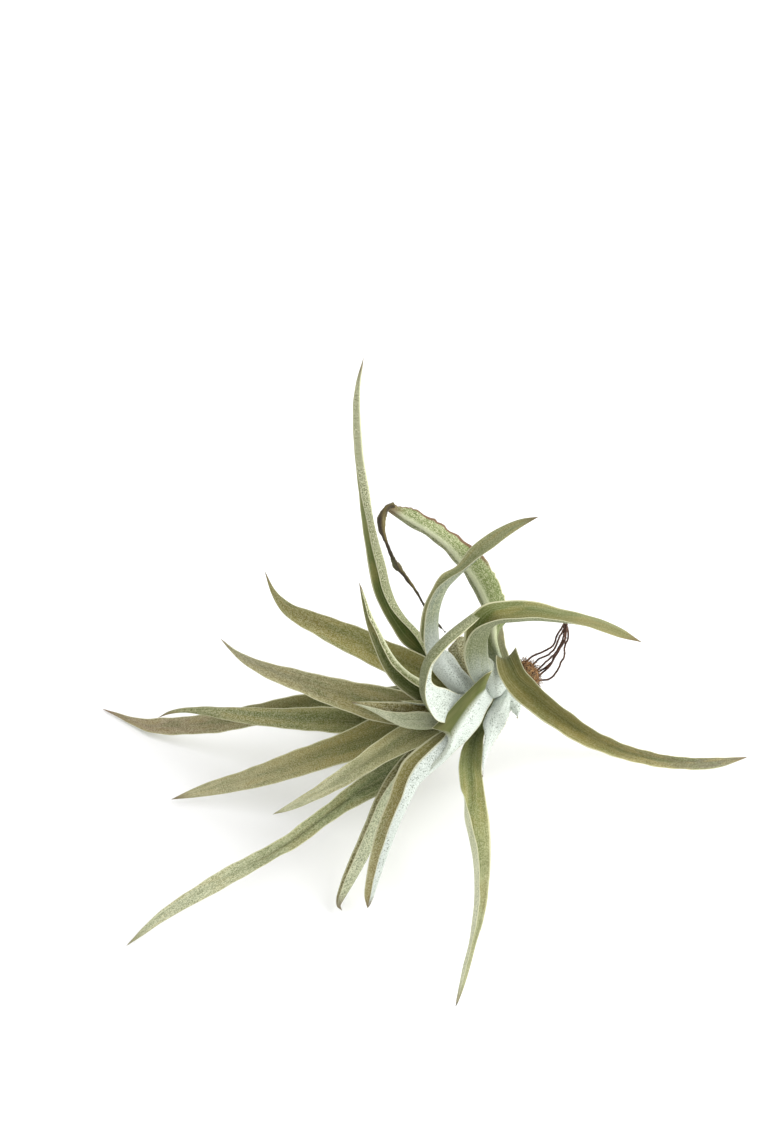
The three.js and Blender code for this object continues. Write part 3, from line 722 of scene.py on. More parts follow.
leaf(
    "twisted_leaf", at=25, **LEFT,
    inner="#7f8049", pale="#7e7f50",
    first=[
        (-9, -9, -7.8), (-23.3, -12.8, -4.7), (-35, -14.5, -7.4), (-44, -14.4, -10.2),
        (-53.3, -13.7, -13.4), (-62.3, -12.7, -17.3), (-70.3, -11.9, -20.2), (-76.8, -10.9, -23),
        (-83, -9.6, -25.2), (-89, -8.4, -27), (-95, -7.6, -28.5), (-99.9, -8, -30.2),
    ],
    middle=[
        (-9, -7, -4), (-23.3, -8.8, -8), (-35, -10.3, -11), (-44, -10.2, -13.5), (-53.3, -9.8, -16.5),
        (-62.3, -9.3, -19.5), (-70.3, -8.6, -21.5), (-77.2, -7.7, -23.5), (-83.5, -7.1, -25.5),
        (-89.5, -6.8, -27), (-95.3, -6.7, -28.5), (-100.2, -7.6, -30.2),
    ],
    second=[
        (-9, -5, -7.8), (-23.3, -5, -4.5), (-35, -6.3, -7.2), (-43.8, -5.8, -10.5), (-53, -5.7, -14.3),
        (-62, -6.1, -18.3), (-70, -5.9, -22.1), (-77.3, -5.7, -25.3), (-84, -5.6, -28.2),
        (-90.2, -5.6, -28.7), (-95.8, -6, -29.4), (-100.4, -7.1, -30.5),
    ],
    end=(-103.9, -9.2, -31),
)
leaf(
    "lower_left_leaf", at=22, crease=0.3, **LEFT,
    inner="#90864a", pale="#aea67e",
    first=[
        (-7.3, -10, -2.7), (-16.7, -16, 3), (-27.3, -20.2, 1), (-38.2, -23.3, -3), (-47.7, -26.1, -6.9),
        (-56.5, -28.8, -9.3), (-65.7, -31.3, -13), (-74.7, -33.3, -15.7), (-83.3, -34.8, -18.6),
        (-91.2, -35.8, -20.3),
    ],
    middle=[
        (-8, -8, 1), (-18.3, -11.5, 0), (-29.7, -15, -2.5), (-40.7, -18.4, -5.5), (-49.8, -21.3, -8.5),
        (-58.3, -24.5, -11), (-67.2, -27.3, -14), (-75.8, -29.9, -16.5), (-84.2, -32.3, -18.7),
        (-91.8, -34.3, -20.3),
    ],
    second=[
        (-8.7, -6, -2.7), (-20, -7.2, 3.2), (-32.3, -9.3, -0.6), (-43.2, -14.4, -1.6), (-52, -17.7, -4.8),
        (-60.3, -20.9, -8), (-68.7, -24.1, -11.4), (-76.9, -27.3, -14), (-85, -29.9, -17.5),
        (-92.3, -32.8, -20.3),
    ],
    end=(-99.7, -36.5, -22),
)
leaf(
    "short_leaf", at=25.5, slot="leaf_olive", crease=0.4,
    inner="#a5a070", pale="#cbcba8", outer="#a0a47f", tip="#8f8a62", bloom=(0.35, 0.4),
    dark=0.4,
    first=[
        (-3.3, -12.3, 0.4), (-11.7, -16.5, 9.2), (-18.5, -19.7, 10.6), (-26.2, -23.2, 11.9),
        (-33.4, -27.1, 11.9), (-40.6, -31.7, 11), (-48.2, -35.3, 10.3), (-55.3, -38.5, 8.1),
        (-60.7, -40.4, 6.5),
    ],
    middle=[
        (-4.7, -10, 3), (-14, -13.3, 6.5), (-21.2, -16.7, 8), (-28.3, -20.2, 8.5), (-35.3, -24.3, 8.7),
        (-42.3, -29.1, 8.4), (-49.3, -33.4, 8), (-56, -37, 7.2), (-61, -39.3, 6.5),
    ],
    second=[
        (-6.3, -7.3, 1.1), (-17, -8.5, 6.5), (-24.3, -12.5, 8), (-30.7, -16.8, 11.2),
        (-37.1, -21.8, 12.1), (-43.9, -26.8, 11.4), (-50.7, -31.5, 10.2), (-56.8, -35.6, 8.1),
        (-61.4, -38.6, 7.1),
    ],
    end=(-65.8, -41.5, 6),
)
leaf(
    "long_leaf", at=17, slot="leaf_silver", crease=0.5,
    inner="#969e6e", pale="#b7bb9c", outer="#a5aa88", tip="#7c7650", bloom=(0.4, 0.4),
    first=[
        (-3, -12.7, -8.6), (-15, -25, 1.3), (-24, -31.8, 4.3), (-33.3, -36.5, 6.8), (-41.5, -40.8, 9.9),
        (-48.8, -46, 13.2), (-56.8, -51.7, 16), (-65.7, -56.7, 18.7), (-75, -62.2, 20.6),
        (-84.5, -67.4, 21.9), (-93.8, -72.4, 23.7), (-102.7, -77.5, 24.5), (-108.7, -81.6, 25.5),
    ],
    middle=[
        (-4, -10.7, -5), (-17.7, -22, -1), (-26.7, -28.5, 1), (-35.7, -33.2, 3.8), (-43.5, -38.5, 6.3),
        (-50.8, -44, 9.8), (-58.5, -49.8, 12.6), (-67.3, -55.2, 15.4), (-76.7, -59.9, 18.2),
        (-86, -64.8, 20.6), (-95.2, -70.2, 23), (-103.7, -75.6, 24.5), (-109.3, -80.5, 25.5),
    ],
    second=[
        (-5, -8.7, -8.6), (-20.7, -18.5, 0.2), (-29.5, -24.8, 3.6), (-38, -30.2, 7.2),
        (-45.7, -36.3, 9.9), (-52.8, -41.8, 13), (-60.5, -47.7, 15.6), (-69.2, -52.8, 17.9),
        (-78.2, -57.4, 20.6), (-87.3, -62.8, 22.9), (-96.5, -68.7, 25), (-104.5, -74.7, 26),
        (-109.7, -79.9, 26.1),
    ],
    end=(-114.5, -85.3),
)

# ----------------------------------------------------------------------------------- leaves in front
# Leaves that come down towards the front: one with a folded keel and a broad white sheath, a narrow one
# with a hooked tip, and one that hangs to the surface.

SHEATH = dict(inner="#a9b09c", outer="#c3cabd", whites=(1, 1))
leaf(
    "keeled_leaf", slot="leaf_silver",
    inner="#7a7034", pale="#a89d6a", outer="#bcc2ae", whites=(-0.1, 1), dark=0.3,
    first=[
        (-4.7, -9.3, 10), (-6.8, -12.3, 15), (-9, -16, 18.8), (-13.2, -20, 21), (-17.8, -24.7, 23.2),
        (-20.8, -29.8, 24.6), (-23.1, -36.3, 25.3), (-26.3, -44, 25.2), (-30, -54.7, 24),
        (-32.3, -63.3, 21.6), (-33.4, -69.2, 18.8),
    ],
    middle=[
        (-2, -12.3, 11), (-3.3, -16, 16.5), (-5.7, -19.3, 19.5), (-8.7, -23, 21), (-12.8, -26.5, 22),
        (-17.2, -30.7, 22.5), (-20.5, -36.7, 23), (-24, -44.3, 23), (-28, -55, 22), (-30.8, -63.3, 20),
        (-32.7, -69.3, 17.8),
    ],
    second=[
        (-7.7, -13.3, 8), (-10.7, -14.3, 12), (-14.3, -17, 15), (-19.3, -20.7, 17), (-22.7, -24.2, 18),
        (-25.2, -29.7, 19), (-27.2, -36.2, 20), (-30.2, -43.7, 20.5), (-33.2, -54.5, 20),
        (-34.7, -63, 18.8), (-35.2, -68.8, 17.2),
    ],
    end=(-34.2, -72.7, 16),
)
leaf(
    "keeled_leaf_sheath", at=11, node="keeled_leaf", slot="leaf_silver", crease=0.6,
    # painted shade, grey-green, on the first half of its white back, which faces away from the light,
    # fading past the fold
    half=(-1, False, 0, 0.2, 1, "#606836", 0.71), **SHEATH,
    first=[
        (7, 5.7, 5), (7, 6.4, 13), (2.7, 3.2, 12.6), (-2.7, -2, 13.3), (-7.7, -7.7, 15.2),
        (-12.2, -12.1, 17.5), (-12.7, -12.6, 17.8), (-8.7, -14.1, 20.6), (-7.4, -15.7, 21.6),
        (-7.7, -18.2, 22.4), (-10, -21.8, 22.8), (-13.5, -25.7, 23),
    ],
    middle=[
        (5, 1, 5), (4, -0.3, 13.5), (1.3, -3.8, 15.5), (-1.1, -7.2, 17.5), (-3.4, -10.8, 19.5),
        (-5.2, -13.8, 21), (-5.5, -14.3, 21.2), (-5.9, -15.3, 21.6), (-6.3, -16.8, 22),
        (-7.1, -19.3, 22.5), (-9.3, -22.7, 22.8), (-13, -26.3, 23),
    ],
    second=[
        (8, -2.7, 2), (7.3, -4, 9.5), (5.3, -7.5, 11), (3.3, -11.3, 13), (0.8, -14.8, 15.4),
        (-1.5, -17.3, 17.3), (-1.9, -17.7, 17.5), (-2.6, -18.3, 18), (-3.7, -19.3, 18.8),
        (-5.3, -20.8, 20), (-8.3, -23.7, 21), (-12.3, -27.2, 22),
    ],
    end=(-17.3, -31.2, 23.2),
)
leaf(
    "hooked_tip_leaf", at=19, slot="leaf_silver",
    inner="#5c5832", pale="#7d7850", outer="#b5bb9c", tip="#6a5a4a", whites=(-0.1, -0.1),
    first=[
        (-3, -7.7, 3), (-14.3, -17, 8), (-23, -26.3, 9.5), (-29.8, -36, 11), (-34.2, -46, 13.6),
        (-38.3, -55.3, 16), (-42.1, -64.3, 17.2), (-43.9, -69.8, 17), (-44.1, -72.3, 16.9),
    ],
    middle=[
        (-1.3, -9.3, 2), (-11.3, -18.7, 6.5), (-19.7, -27.7, 8), (-25.8, -36.7, 9.2),
        (-30.2, -46.3, 11.8), (-34.5, -55.7, 14.3), (-39.5, -64.7, 16), (-42.5, -69.8, 16.3),
        (-43.5, -72, 16.5),
    ],
    second=[
        (-4.3, -6.3, -1), (-16.7, -16, 3), (-25.5, -25.7, 4.5), (-31.3, -35.3, 6.5), (-35.6, -45.7, 9.5),
        (-39.6, -55, 12.4), (-43.1, -64, 14.5), (-44.6, -69.5, 15.4), (-44.3, -72.2, 16),
    ],
    end=(-42.7, -73.5, 17),
)
leaf(
    "hanging_leaf", at=8, slot="leaf_olive",
    inner="#82874a", pale="#bfc29c", outer="#d0d3b4", whites=(0, 0.1), bloom=(0.2, 0.3),
    first=[
        (10, -8.7, -1), (5, -14.3, 5), (4.3, -21, 12), (4, -27.3, 19), (4.8, -33.3, 24), (5.7, -39, 27.5),
        (6.5, -44, 31), (6.9, -51, 34.3), (6.9, -57.7, 38), (6.4, -64.7, 41.6), (5.7, -71, 44.6),
        (4.2, -77.7, 46.9), (2.1, -84.7, 48.4), (0.2, -92, 48.9), (-2.2, -99.7, 48.4),
    ],
    middle=[
        (6.7, -9, 1), (2.3, -14.7, 3.5), (0.5, -20, 10), (-0.2, -25.7, 16.5), (0.2, -31.3, 22),
        (0, -37, 26), (-0.7, -42.7, 30), (0.6, -50, 34), (1.7, -57, 37.5), (2.1, -64.3, 41),
        (1.9, -71, 44), (1.1, -77.7, 46.3), (0, -84.7, 48), (-1.9, -92, 48.6), (-3.5, -99.7, 48.2),
    ],
    second=[
        (3.7, -8, -1), (-0.3, -15, 4), (-2.9, -20.2, 11.5), (-3.8, -26, 18), (-3.2, -31.7, 23.5),
        (-1.8, -36.3, 28.5), (-0.2, -41.8, 33), (1.8, -49.3, 37.2), (3, -56.3, 40.7), (3.3, -63.7, 44),
        (3.1, -70.3, 46.6), (2.3, -77.2, 48.5), (0.8, -84.3, 49.6), (-1, -91.8, 49.8), (-3, -99.5, 49),
    ],
    end=(-4.8, -106.2),
)
leaf(
    "hanging_leaf_sheath", at=8, node="hanging_leaf", slot="leaf_olive", ragged=(0.2, 0.8), **SHEATH,
    first=[
        (7.3, -4.7, 3.5), (5.7, -7.5, 7.5), (4.3, -11.3, 10), (4.9, -14.8, 13.5), (4.3, -18.8, 16.3),
        (4, -23.3, 18.4),
    ],
    middle=[
        (12, -3.3, 3), (9.7, -7, 7), (7.8, -11, 10.5), (6.7, -14.8, 13.5), (5.6, -19, 16),
        (4.7, -23.3, 18.3),
    ],
    second=[
        (15.3, -2.7, -1), (14, -7, 3), (12.3, -11, 7), (9.8, -15, 10.5), (7.3, -19.2, 14),
        (5.5, -23.5, 17),
    ],
    end=(4.2, -29, 21),
)
TORN = dict(node="hanging_leaf", slot="leaf_olive", inner="#b5b8a4", tip="#b9b493", whites=(1, 1))
leaf(
    "torn_flake", ragged=(0.7, 0.7), **TORN,
    first=[(11.3, -2.7, 1.5), (12.8, -5.5, 3.5), (14.2, -7.7, 4.5)],
    middle=[(12.7, -2.3, 1), (14.3, -4.3, 3), (15.7, -6.5, 4.5)],
    second=[(14, -1.3, -1), (16, -3, 1), (17.2, -5.5, 3)],
    end=(15.8, -9.3, 5),
)
leaf(
    "torn_scrap", ragged=(0.6, 0.6), **TORN,
    first=[(13.5, -0.7, -0.5), (15.5, -3, 1), (18.2, -4.2, 1.8)],
    middle=[(14.7, 0, -1), (16.7, -1.8, 0.5), (19.2, -3.3, 1.5)],
    second=[(15.7, 0.8, -2), (18, -0.7, -0.5), (20, -2.3, 0.8)],
    end=(21.7, -3.7, 1.5),
)

# ----------------------------------------------------------------------------------- lower leaves
# Older leaves at the back and underneath, plain and olive on both faces. They clasp the stem like the
# others and carry the plant on their tips.

LOWER = dict(slot="leaf_olive", inner="#6f6d3c", outer="#898b66")
leaf(
    "rear_leaf", at=5, **LOWER,
    first=[
        (4, 8.8, -18.1), (4.4, 10.8, -28.9), (4.3, 15.3, -40.5), (4.9, 19.4, -52.4), (5.3, 22.6, -64.4),
        (5.4, 24.8, -76.7), (5.6, 26.3, -89.1),
    ],
    middle=[
        (5.5, 3.9, -18.9), (8.5, 8.6, -29.7), (8, 13.7, -41.1), (8.1, 18.1, -52.8), (7.9, 21.7, -64.6),
        (7.3, 24.2, -76.8), (6.6, 25.9, -89.1),
    ],
    second=[
        (9.8, 1.6, -16.7), (12.9, 10.1, -28.8), (11.8, 15.3, -40.4), (11.3, 19.3, -52.1),
        (10.5, 22.6, -64.4), (9.1, 24.9, -76.7), (7.7, 26.3, -89.1),
    ],
    end=(6, 27),
)
leaf(
    "rear_right_leaf", at=6, **LOWER,
    first=[
        (4.6, 2.6, -17), (13.8, 2.7, -26), (22, -1.8, -32), (30.8, -7.3, -36.6), (39.3, -12.6, -39.1),
        (48.5, -17.1, -40.4),
    ],
    middle=[
        (6.4, -2.3, -16.9), (14.1, -1.5, -23.9), (21.7, -5.2, -29.9), (30.3, -9.9, -34.6),
        (38.9, -14.5, -37.7), (48.3, -18.2, -39.6),
    ],
    second=[
        (10.3, -4.1, -13.6), (16.8, -2.9, -20.1), (23.5, -6.5, -26.3), (31.1, -11, -31.6),
        (39.4, -15.3, -35.4), (48.5, -18.6, -38.3),
    ],
    end=(58, -21.5, -41),
)
leaf(
    "under_leaf", at=10, **LOWER,
    first=[
        (-5.5, -3.3, -13.3), (-8.5, -8.5, -20.2), (-15, -12.1, -26.5), (-23.1, -15.6, -31.9),
        (-32.3, -18.2, -35.3), (-42, -20.3, -37.8),
    ],
    middle=[
        (-0.7, -4.4, -14.7), (-5.4, -7.7, -23.6), (-13.1, -11.1, -30), (-22.4, -14.5, -34.9),
        (-32, -17.5, -37.6), (-41.9, -19.9, -39.1),
    ],
    second=[
        (2.4, -1.2, -17.3), (-4.8, -3.9, -26.3), (-13.1, -7.8, -32.3), (-22.7, -11.9, -36.8),
        (-32.3, -15.5, -38.9), (-42.1, -18.7, -39.8),
    ],
    end=(-52, -22, -40),
)
leaf(
    "rear_left_leaf", at=12, **LOWER,
    first=[
        (-9.8, 3.9, -12.9), (-18, 6, -23.1), (-26.7, 9.2, -34.2), (-34, 12.4, -46), (-40.5, 15.5, -58.1),
        (-46.4, 18.4, -70.5), (-51.6, 20.9, -83.3),
    ],
    middle=[
        (-6, 1.9, -15.8), (-14.8, 5.1, -26.5), (-23.7, 8.3, -36.9), (-31.3, 11.7, -48.2),
        (-38.2, 15, -59.8), (-44.8, 18, -71.6), (-50.6, 20.6, -83.8),
    ],
    second=[
        (-1.9, 4.7, -17.7), (-11.7, 8.1, -28.6), (-20.7, 10.7, -38.6), (-28.5, 13.6, -49.5),
        (-36, 16.4, -60.9), (-43.2, 19, -72.4), (-49.7, 21.2, -84.2),
    ],
    end=(-56, 23),
)
leaf(
    "rear_low_leaf", at=18, **LOWER,
    first=[
        (-12.9, 0, -9.2), (-18.7, -0.1, -18.9), (-26.7, -0.3, -27.5), (-35, -0.7, -36.3),
        (-43.2, -1.3, -44.7), (-51.9, -2.1, -52.2), (-61.3, -3.4, -58),
    ],
    middle=[
        (-9.1, -2, -11.4), (-15.5, -0.9, -21.8), (-24.2, -0.9, -30.4), (-32.8, -1.1, -38.7),
        (-41.5, -1.4, -46.8), (-50.8, -2.2, -53.9), (-61, -3.4, -59.1),
    ],
    second=[
        (-5.4, 0.5, -13.3), (-13.1, 2, -24.1), (-22.3, 1.6, -32.7), (-31.1, 0.9, -40.8),
        (-40.3, 0.2, -48.6), (-50.1, -1, -55.3), (-60.8, -2.7, -59.9),
    ],
    end=(-72, -5, -61.4),
)

# ----------------------------------------------------------------------------------- the snapped leaf
# A big leaf that curls back over the rosette, its back to the front. It snapped near its tip, and the dead
# end hangs from the break, brown, thin and crinkled.

leaf(
    # painted shade on the second half of its back, which faces away from the light, and a painted highlight
    # on its keel
    "broken_leaf", at=4, slot="leaf_green", keel=0.05, crease=0.3, ragged=(0.9, 0),
    inner="#5f6a32", outer="#7d8a52", whites=(0.05, 0.1), tip="#6f5438", bloom=(0.1, 0.35),
    half=(1, False, 0.05, 0.05, 0.7, "#47551f", 2), scorched=(-1, 0.5),
    first=[
        (13.7, 6, -11.3), (10, 11.3, -16.5), (8.3, 16.7, -19.3), (13.3, 24.3, -16.4), (12.3, 28.7, -16),
        (11.3, 32.5, -15.4), (9.3, 37.7, -14.3), (6.5, 42.2, -13.4), (2.8, 46.8, -12.3),
        (-2.2, 50.5, -12.7), (-7.5, 54.5, -12), (-12.8, 57.8, -11), (-18.3, 60.6, -9.7),
        (-22.5, 61.5, -9.5), (-25.8, 62.6, -8.7),
    ],
    middle=[
        (11.7, 4.7, -7.5), (9.7, 11, -11), (8.3, 16.7, -13), (8, 22.7, -14.5), (6.7, 26.7, -14.9),
        (5.3, 30.3, -14.9), (3.2, 34.8, -14.3), (0.2, 39.5, -13.4), (-3.2, 43.7, -12.3),
        (-6.8, 47.7, -11.2), (-10.7, 51, -10.2), (-15.3, 54.1, -9.4), (-20.3, 57, -8.8),
        (-24, 59.2, -8.4), (-26.8, 60.8, -8.2),
    ],
    second=[
        (9.3, 4.7, -11.3), (6, 11, -15.1), (3.7, 16.3, -17.2), (5.7, 21.3, -19.7), (4.8, 25.7, -20.3),
        (3.2, 29.3, -20.2), (0.8, 34, -19.6), (-1.8, 38.7, -18.8), (-5.2, 42.7, -17.6),
        (-8.5, 46.5, -16.3), (-12.2, 49.4, -14.8), (-16.5, 52.6, -13.7), (-21.4, 55.4, -12.5),
        (-25, 57.9, -11.3), (-27.6, 59.7, -9.8),
    ],
)
leaf(
    "dry_tip", node="broken_leaf", slot="leaf_green", ragged=(0.4, 0.4), wave=0.8,
    inner="#2c211b", outer="#33271f", tip="#241a14", whites=(-1, -1), bloom=(0.03, 0.03), dark=0,
    first=[
        (-25.5, 60.5, -9), (-26.5, 60.3, -8), (-27.4, 58.7, -7), (-27.9, 57, -6.5), (-28, 53.7, -6),
        (-27.6, 50.7, -5.2), (-26.5, 47.5, -5.2), (-25, 44.3, -5.8), (-23.7, 42.2, -6.4),
        (-21.7, 39.3, -7), (-19, 35.5, -7.6), (-16.5, 31.5, -8.2), (-14.6, 28.1, -8.8),
        (-11.6, 23.8, -9.3), (-9.4, 21.3, -9.5),
    ],
    middle=[
        (-25.3, 61.7, -8), (-27.2, 61.2, -7), (-28.7, 59.3, -6), (-29.7, 57.2, -5), (-29.4, 54, -4.5),
        (-28.4, 50.7, -4.3), (-27.2, 47.3, -4.5), (-25.8, 44, -5), (-24.5, 41.5, -5.5),
        (-22.3, 38.8, -6.2), (-19.5, 35.2, -7), (-17, 31.2, -7.8), (-15, 27.8, -8.4), (-12, 23.5, -9),
        (-9.8, 21, -9.2),
    ],
    second=[
        (-25.8, 63, -8), (-27.9, 61.8, -7.5), (-29.7, 59.9, -7), (-31.3, 57.3, -6), (-30.9, 54, -5.5),
        (-29.2, 50.5, -5), (-27.8, 47.2, -5.2), (-26.5, 43.7, -5.8), (-25.5, 40.8, -6.2),
        (-22.9, 38.3, -6.8), (-20, 34.7, -7.4), (-17.4, 30.8, -8.1), (-15.4, 27.6, -8.7),
        (-12.4, 23.2, -9.3), (-10.2, 20.7, -9.5),
    ],
    end=(-8.2, 19.2, -9.4),
)

# ------------------------------------------------------------------------------ old crown and dead roots
# The old end of the stem: a knob of torn leaf feet, covered with short brown fibres, and the dead, wiry
# roots that once held it. They grow out of the knob and meet in a loose tangle, with finer hairs on them.

CROWN_RADIUS, CROWN_NECK, CROWN_LENGTH = 5.8, 3.5, 6.6
CROWN_START = 1.2
CROWN_ROWS, CROWN_SIDES = 30, 36
FIBRE_COVER = 0.93
TANGLE = (33, 24.3, -8)
ROOTS = [
    [(17.5, 8, -18), (21, 11.2, -17), (25, 13, -14.5), (27.7, 14.7, -13), (28.7, 17.7, -12),
     (30.7, 20.7, -10.5), TANGLE],
    [(19.5, 6.5, -18), (22.7, 10.3, -17.5), (26, 11.7, -15), (28.3, 13.7, -12.5), (29.3, 16.7, -11),
     (31.3, 20, -9.5), TANGLE],
    [(21, 5, -18), (25.7, 9.7, -16), (28.7, 12.3, -12.5), (30.7, 15, -10.5), (32, 18, -9),
     (32.5, 22, -8.5)],
    [(22, 4, -18), (26.7, 8.3, -17.5), (28.3, 12, -15), (30.3, 15.3, -12.5), (31.3, 18.7, -10.5), TANGLE],
    [(22, 3, -18), (26.7, 3.7, -18), (28.7, 6, -17), (30.3, 9.3, -16), (31.3, 11, -15), (31.7, 15, -13),
     (32.3, 16.7, -12), (32.7, 20, -10), (32.2, 22.5, -8.6)],
    [(22, 5.5, -18), (25.3, 7.6, -18), (27.7, 10, -16), (29.7, 13.3, -13.5), (31.8, 17.5, -11)],
]
ROOT_POINTS = 60


class Growth(Graph):
    """A Geometry Nodes tree that grows a plain mesh out of another, with its sizes as named inputs."""

    def __init__(self, name, **sizes):
        super().__init__(bpy.data.node_groups.new(name, "GeometryNodeTree"))
        self.sizes = sizes
        self.tree.interface.new_socket("Geometry", in_out="INPUT", socket_type="NodeSocketGeometry")
        self.tree.interface.new_socket("Geometry", in_out="OUTPUT", socket_type="NodeSocketGeometry")
        for title in sizes:
            self.tree.interface.new_socket(title, in_out="INPUT", socket_type="NodeSocketFloat")
        self.entry = self.tree.nodes.new("NodeGroupInput")
        self.start = Value(self, self.entry.outputs["Geometry"])

    def size(self, title):
        return Value(self, self.entry.outputs[title])

    def evenly(self, low, high, seed, kind="FLOAT"):
        """A random number, or a vector of three, for each point, evenly spread between two."""
        first, output = (0, 0) if kind == "FLOAT_VECTOR" else (2, 1)
        inputs = {first: low, first + 1: high, "Seed": seed}
        return self.node("FunctionNodeRandomValue", {"data_type": kind}, inputs, output)

    def tube(self, curve, thickness, sides):
        """A closed round tube along a curve."""
        numbers = {"Resolution": sides, "Radius": thickness}
        ring = self.node("GeometryNodeCurvePrimitiveCircle", None, numbers)
        inputs = {"Curve": curve, "Profile Curve": ring, "Fill Caps": True}
        return self.node("GeometryNodeCurveToMesh", None, inputs)

    def fibres(self, skin, density, length, thickness, bend, lean, seed):
        """Short bent fibres that stand on a mesh, leaning every way."""
        numbers = {"Mesh": skin, "Density": density, "Seed": seed}
        points = self.node("GeometryNodeDistributePointsOnFaces", None, numbers)
        upright = Value(self, points.socket.node.outputs["Rotation"])
        end = self.node("ShaderNodeCombineXYZ", None, {0: length * bend, 2: length})
        middle = self.node("ShaderNodeCombineXYZ", None, {2: length * 0.6})
        inputs = {"Resolution": 3, "Start": (0, 0, 0), "Middle": middle, "End": end}
        fibre = self.tube(self.node("GeometryNodeCurveQuadraticBezier", None, inputs), thickness, 3)
        turn = self.evenly((-lean, -lean, 0), (lean, lean, math.tau), seed + 1, "FLOAT_VECTOR")
        turn = self.node("FunctionNodeEulerToRotation", None, {0: turn})
        settings = {"rotation_space": "LOCAL"}
        turn = self.node("FunctionNodeRotateRotation", settings, {"Rotation": upright, "Rotate By": turn})
        scale = self.evenly(0.4, 1.2, seed + 2)
        grown = {"Points": points, "Instance": fibre, "Rotation": turn, "Scale": scale}
        return self.node("GeometryNodeInstanceOnPoints", None, grown)

    def grow(self, mesh, material, *parts):
        """Ends the tree with its parts joined, and returns the plain mesh that it grows out of a mesh."""
        joined = self.tree.nodes.new("GeometryNodeJoinGeometry")
        for part in parts:
            self.tree.links.new(part.socket, joined.inputs[0])
        real = self.node("GeometryNodeRealizeInstances", None, {0: Value(self, joined.outputs[0])})
        coated = self.node("GeometryNodeSetMaterial", None, {"Geometry": real, "Material": material})
        self.tree.links.new(coated.socket, self.tree.nodes.new("NodeGroupOutput").inputs[0])
        thing = bpy.data.objects.new(mesh.name, mesh)
        bpy.context.collection.objects.link(thing)
        modifier = thing.modifiers.new(self.tree.name, "NODES")
        modifier.node_group = self.tree
        for socket in self.tree.interface.items_tree:
            if socket.name in self.sizes:
                modifier[socket.identifier] = self.sizes[socket.name]
        grown = bpy.data.meshes.new_from_object(thing.evaluated_get(bpy.context.evaluated_depsgraph_get()))
        thing.modifiers.remove(modifier)
        bpy.data.objects.remove(thing)
        return grown


def fibre_skin(name, dark, middle, light):
    skin = Finish(name, Roughness=0.75)
    where = skin.where()
    coarse = skin.noise(where, 800, 3, 0.6)
    fine = skin.noise(where, 2600, 2, 0.6)
    colour = skin.mix(skin.rise(coarse, 0.35, 0.65), paint(dark), paint(middle))
    colour = skin.mix(skin.rise(fine, 0.5, 0.72) * 0.7, colour, paint(light))
    return skin.finish(Base_Color=colour, Normal=skin.bump(fine, 0.6))


def crown():
    share = np.linspace(0, 1, CROWN_ROWS)
    bulge = CROWN_NECK + (CROWN_RADIUS - CROWN_NECK) * np.sin(share * math.pi) ** 0.7
    bulge *= rounded(1 - share, 5, 0.03)
    centres = on_stem(CROWN_START - share[:, None] * CROWN_LENGTH)
    points = round_tube(centres, bulge * FIBRE_COVER, CROWN_SIDES)[::-1]
    growth = Growth("crown fibres", Density=4e6, Length=0.0013, Thickness=0.00007, Bend=0.9)
    numbers = [growth.size(title) for title in growth.sizes]
    fibres = growth.fibres(growth.start, *numbers, lean=0.9, seed=5)
    skin = fibre_skin("crown fibre", "#3a2415", "#96693a", "#e3c48b")
    knob = mesh_of("crown", points, tube_faces(CROWN_ROWS, CROWN_SIDES))
    piece("crown", growth.grow(knob, skin, growth.start, fibres), skin, "roots")


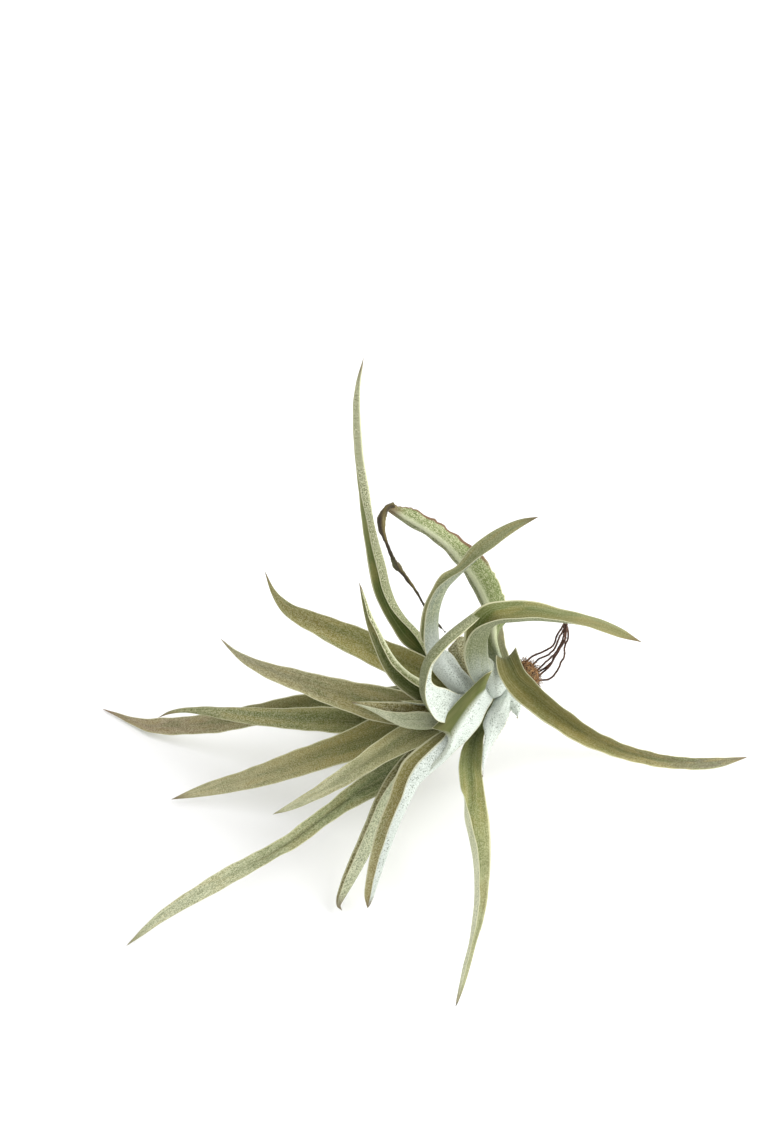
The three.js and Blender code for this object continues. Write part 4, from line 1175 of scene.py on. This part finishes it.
def roots():
    lines = [spline([place(seen) for seen in root], np.linspace(0, 1, ROOT_POINTS)) for root in ROOTS]
    edges = [(i, i + 1) for i in range(len(lines) * ROOT_POINTS - 1) if (i + 1) % ROOT_POINTS]
    growth = Growth("root strands", Step=0.0004, Wander=0.0011, Thickness=0.00034, Hair=0.0014)
    curve = growth.node("GeometryNodeMeshToCurve", None, {0: growth.start})
    stretches = {"Curve": curve, "Length": growth.size("Step")}
    curve = growth.node("GeometryNodeResampleCurve", {"mode": "LENGTH"}, stretches)
    shift = growth.node("ShaderNodeTexNoise", None, {"Scale": 260, "Detail": 2}, "Color")
    shift = growth.node("ShaderNodeVectorMath", {"operation": "SUBTRACT"}, {0: shift, 1: (0.5, 0.5, 0.5)})
    wandering = {0: shift, "Scale": growth.size("Wander")}
    wander = growth.node("ShaderNodeVectorMath", {"operation": "SCALE"}, wandering)
    curve = growth.node("GeometryNodeSetPosition", None, {"Geometry": curve, "Offset": wander})
    lumps = growth.node("ShaderNodeTexNoise", None, {"Scale": 700, "Detail": 1})
    curve = growth.node("GeometryNodeSetCurveRadius", None, {"Curve": curve, "Radius": lumps * 1.6 + 0.25})
    strands = growth.tube(curve, growth.size("Thickness"), 8)
    hairs = growth.fibres(
        strands, density=3.5e5, length=growth.size("Hair"), thickness=0.00004, bend=0.4, lean=0.7, seed=9
    )
    skin = fibre_skin("root bark", "#321f17", "#5a3a2b", "#876250")
    mesh = mesh_of("roots", np.concatenate(lines), [], edges)
    piece("root_strands", growth.grow(mesh, skin, strands, hairs), skin, "roots")


crown()
roots()

# ------------------------------------------------------------------------------- floor, light and view
# A plain pale floor under soft, even studio light, seen from the front and from above. None of it is part
# of the plant. At the mark, the view is so many millimetres high.

FLOOR_SIDE = 6000

floor_corners = np.array([(-1, -1, 0), (1, -1, 0), (1, 1, 0), (-1, 1, 0)]) * FLOOR_SIDE / 2 * MM
floor_mesh = bpy.data.meshes.new("floor")
floor_mesh.from_pydata(floor_corners.tolist(), [], [(0, 1, 2, 3)])
floor_mesh.materials.append(Finish("pale floor", Roughness=0.9).finish(Base_Color=paint("#fafafa")))
floor = bpy.data.objects.new("floor", floor_mesh)
bpy.context.collection.objects.link(floor)

WORLD_STRENGTH = 0.95
world = bpy.data.worlds.new("studio")
world.use_nodes = True
world.node_tree.nodes["Background"].inputs["Color"].default_value = (1, 1, 1, 1)
world.node_tree.nodes["Background"].inputs["Strength"].default_value = WORLD_STRENGTH
bpy.context.scene.world = world

LAMP_PLACE = (800, 500, 350)
LAMP_SIDE = 900
LAMP_WATTS = 11
lamp_data = bpy.data.lights.new("key", "AREA")
lamp_data.size = LAMP_SIDE * MM
lamp_data.energy = LAMP_WATTS
lamp = bpy.data.objects.new("key", lamp_data)
from_mark = direction(LAMP_PLACE)
lamp.location = (MARK + from_mark) * MM
lamp.rotation_euler = Vector(-from_mark).to_track_quat("-Z", "Y").to_euler()
bpy.context.collection.objects.link(lamp)

SENSOR_SIDE = 36
VIEW_HEIGHT = 380
camera_data = bpy.data.cameras.new("camera")
camera_data.sensor_width = SENSOR_SIDE
camera_data.lens = SENSOR_SIDE * EYE_DISTANCE / VIEW_HEIGHT
camera_data.clip_end = 20
camera = bpy.data.objects.new("camera", camera_data)
camera.location = (MARK + direction((*SIGHT_LINE, EYE_DISTANCE))) * MM
camera.rotation_euler = (math.radians(90) - LOOK_DOWN, 0, 0)
bpy.context.collection.objects.link(camera)
bpy.context.scene.camera = camera
bpy.context.scene.view_settings.view_transform = "Standard"
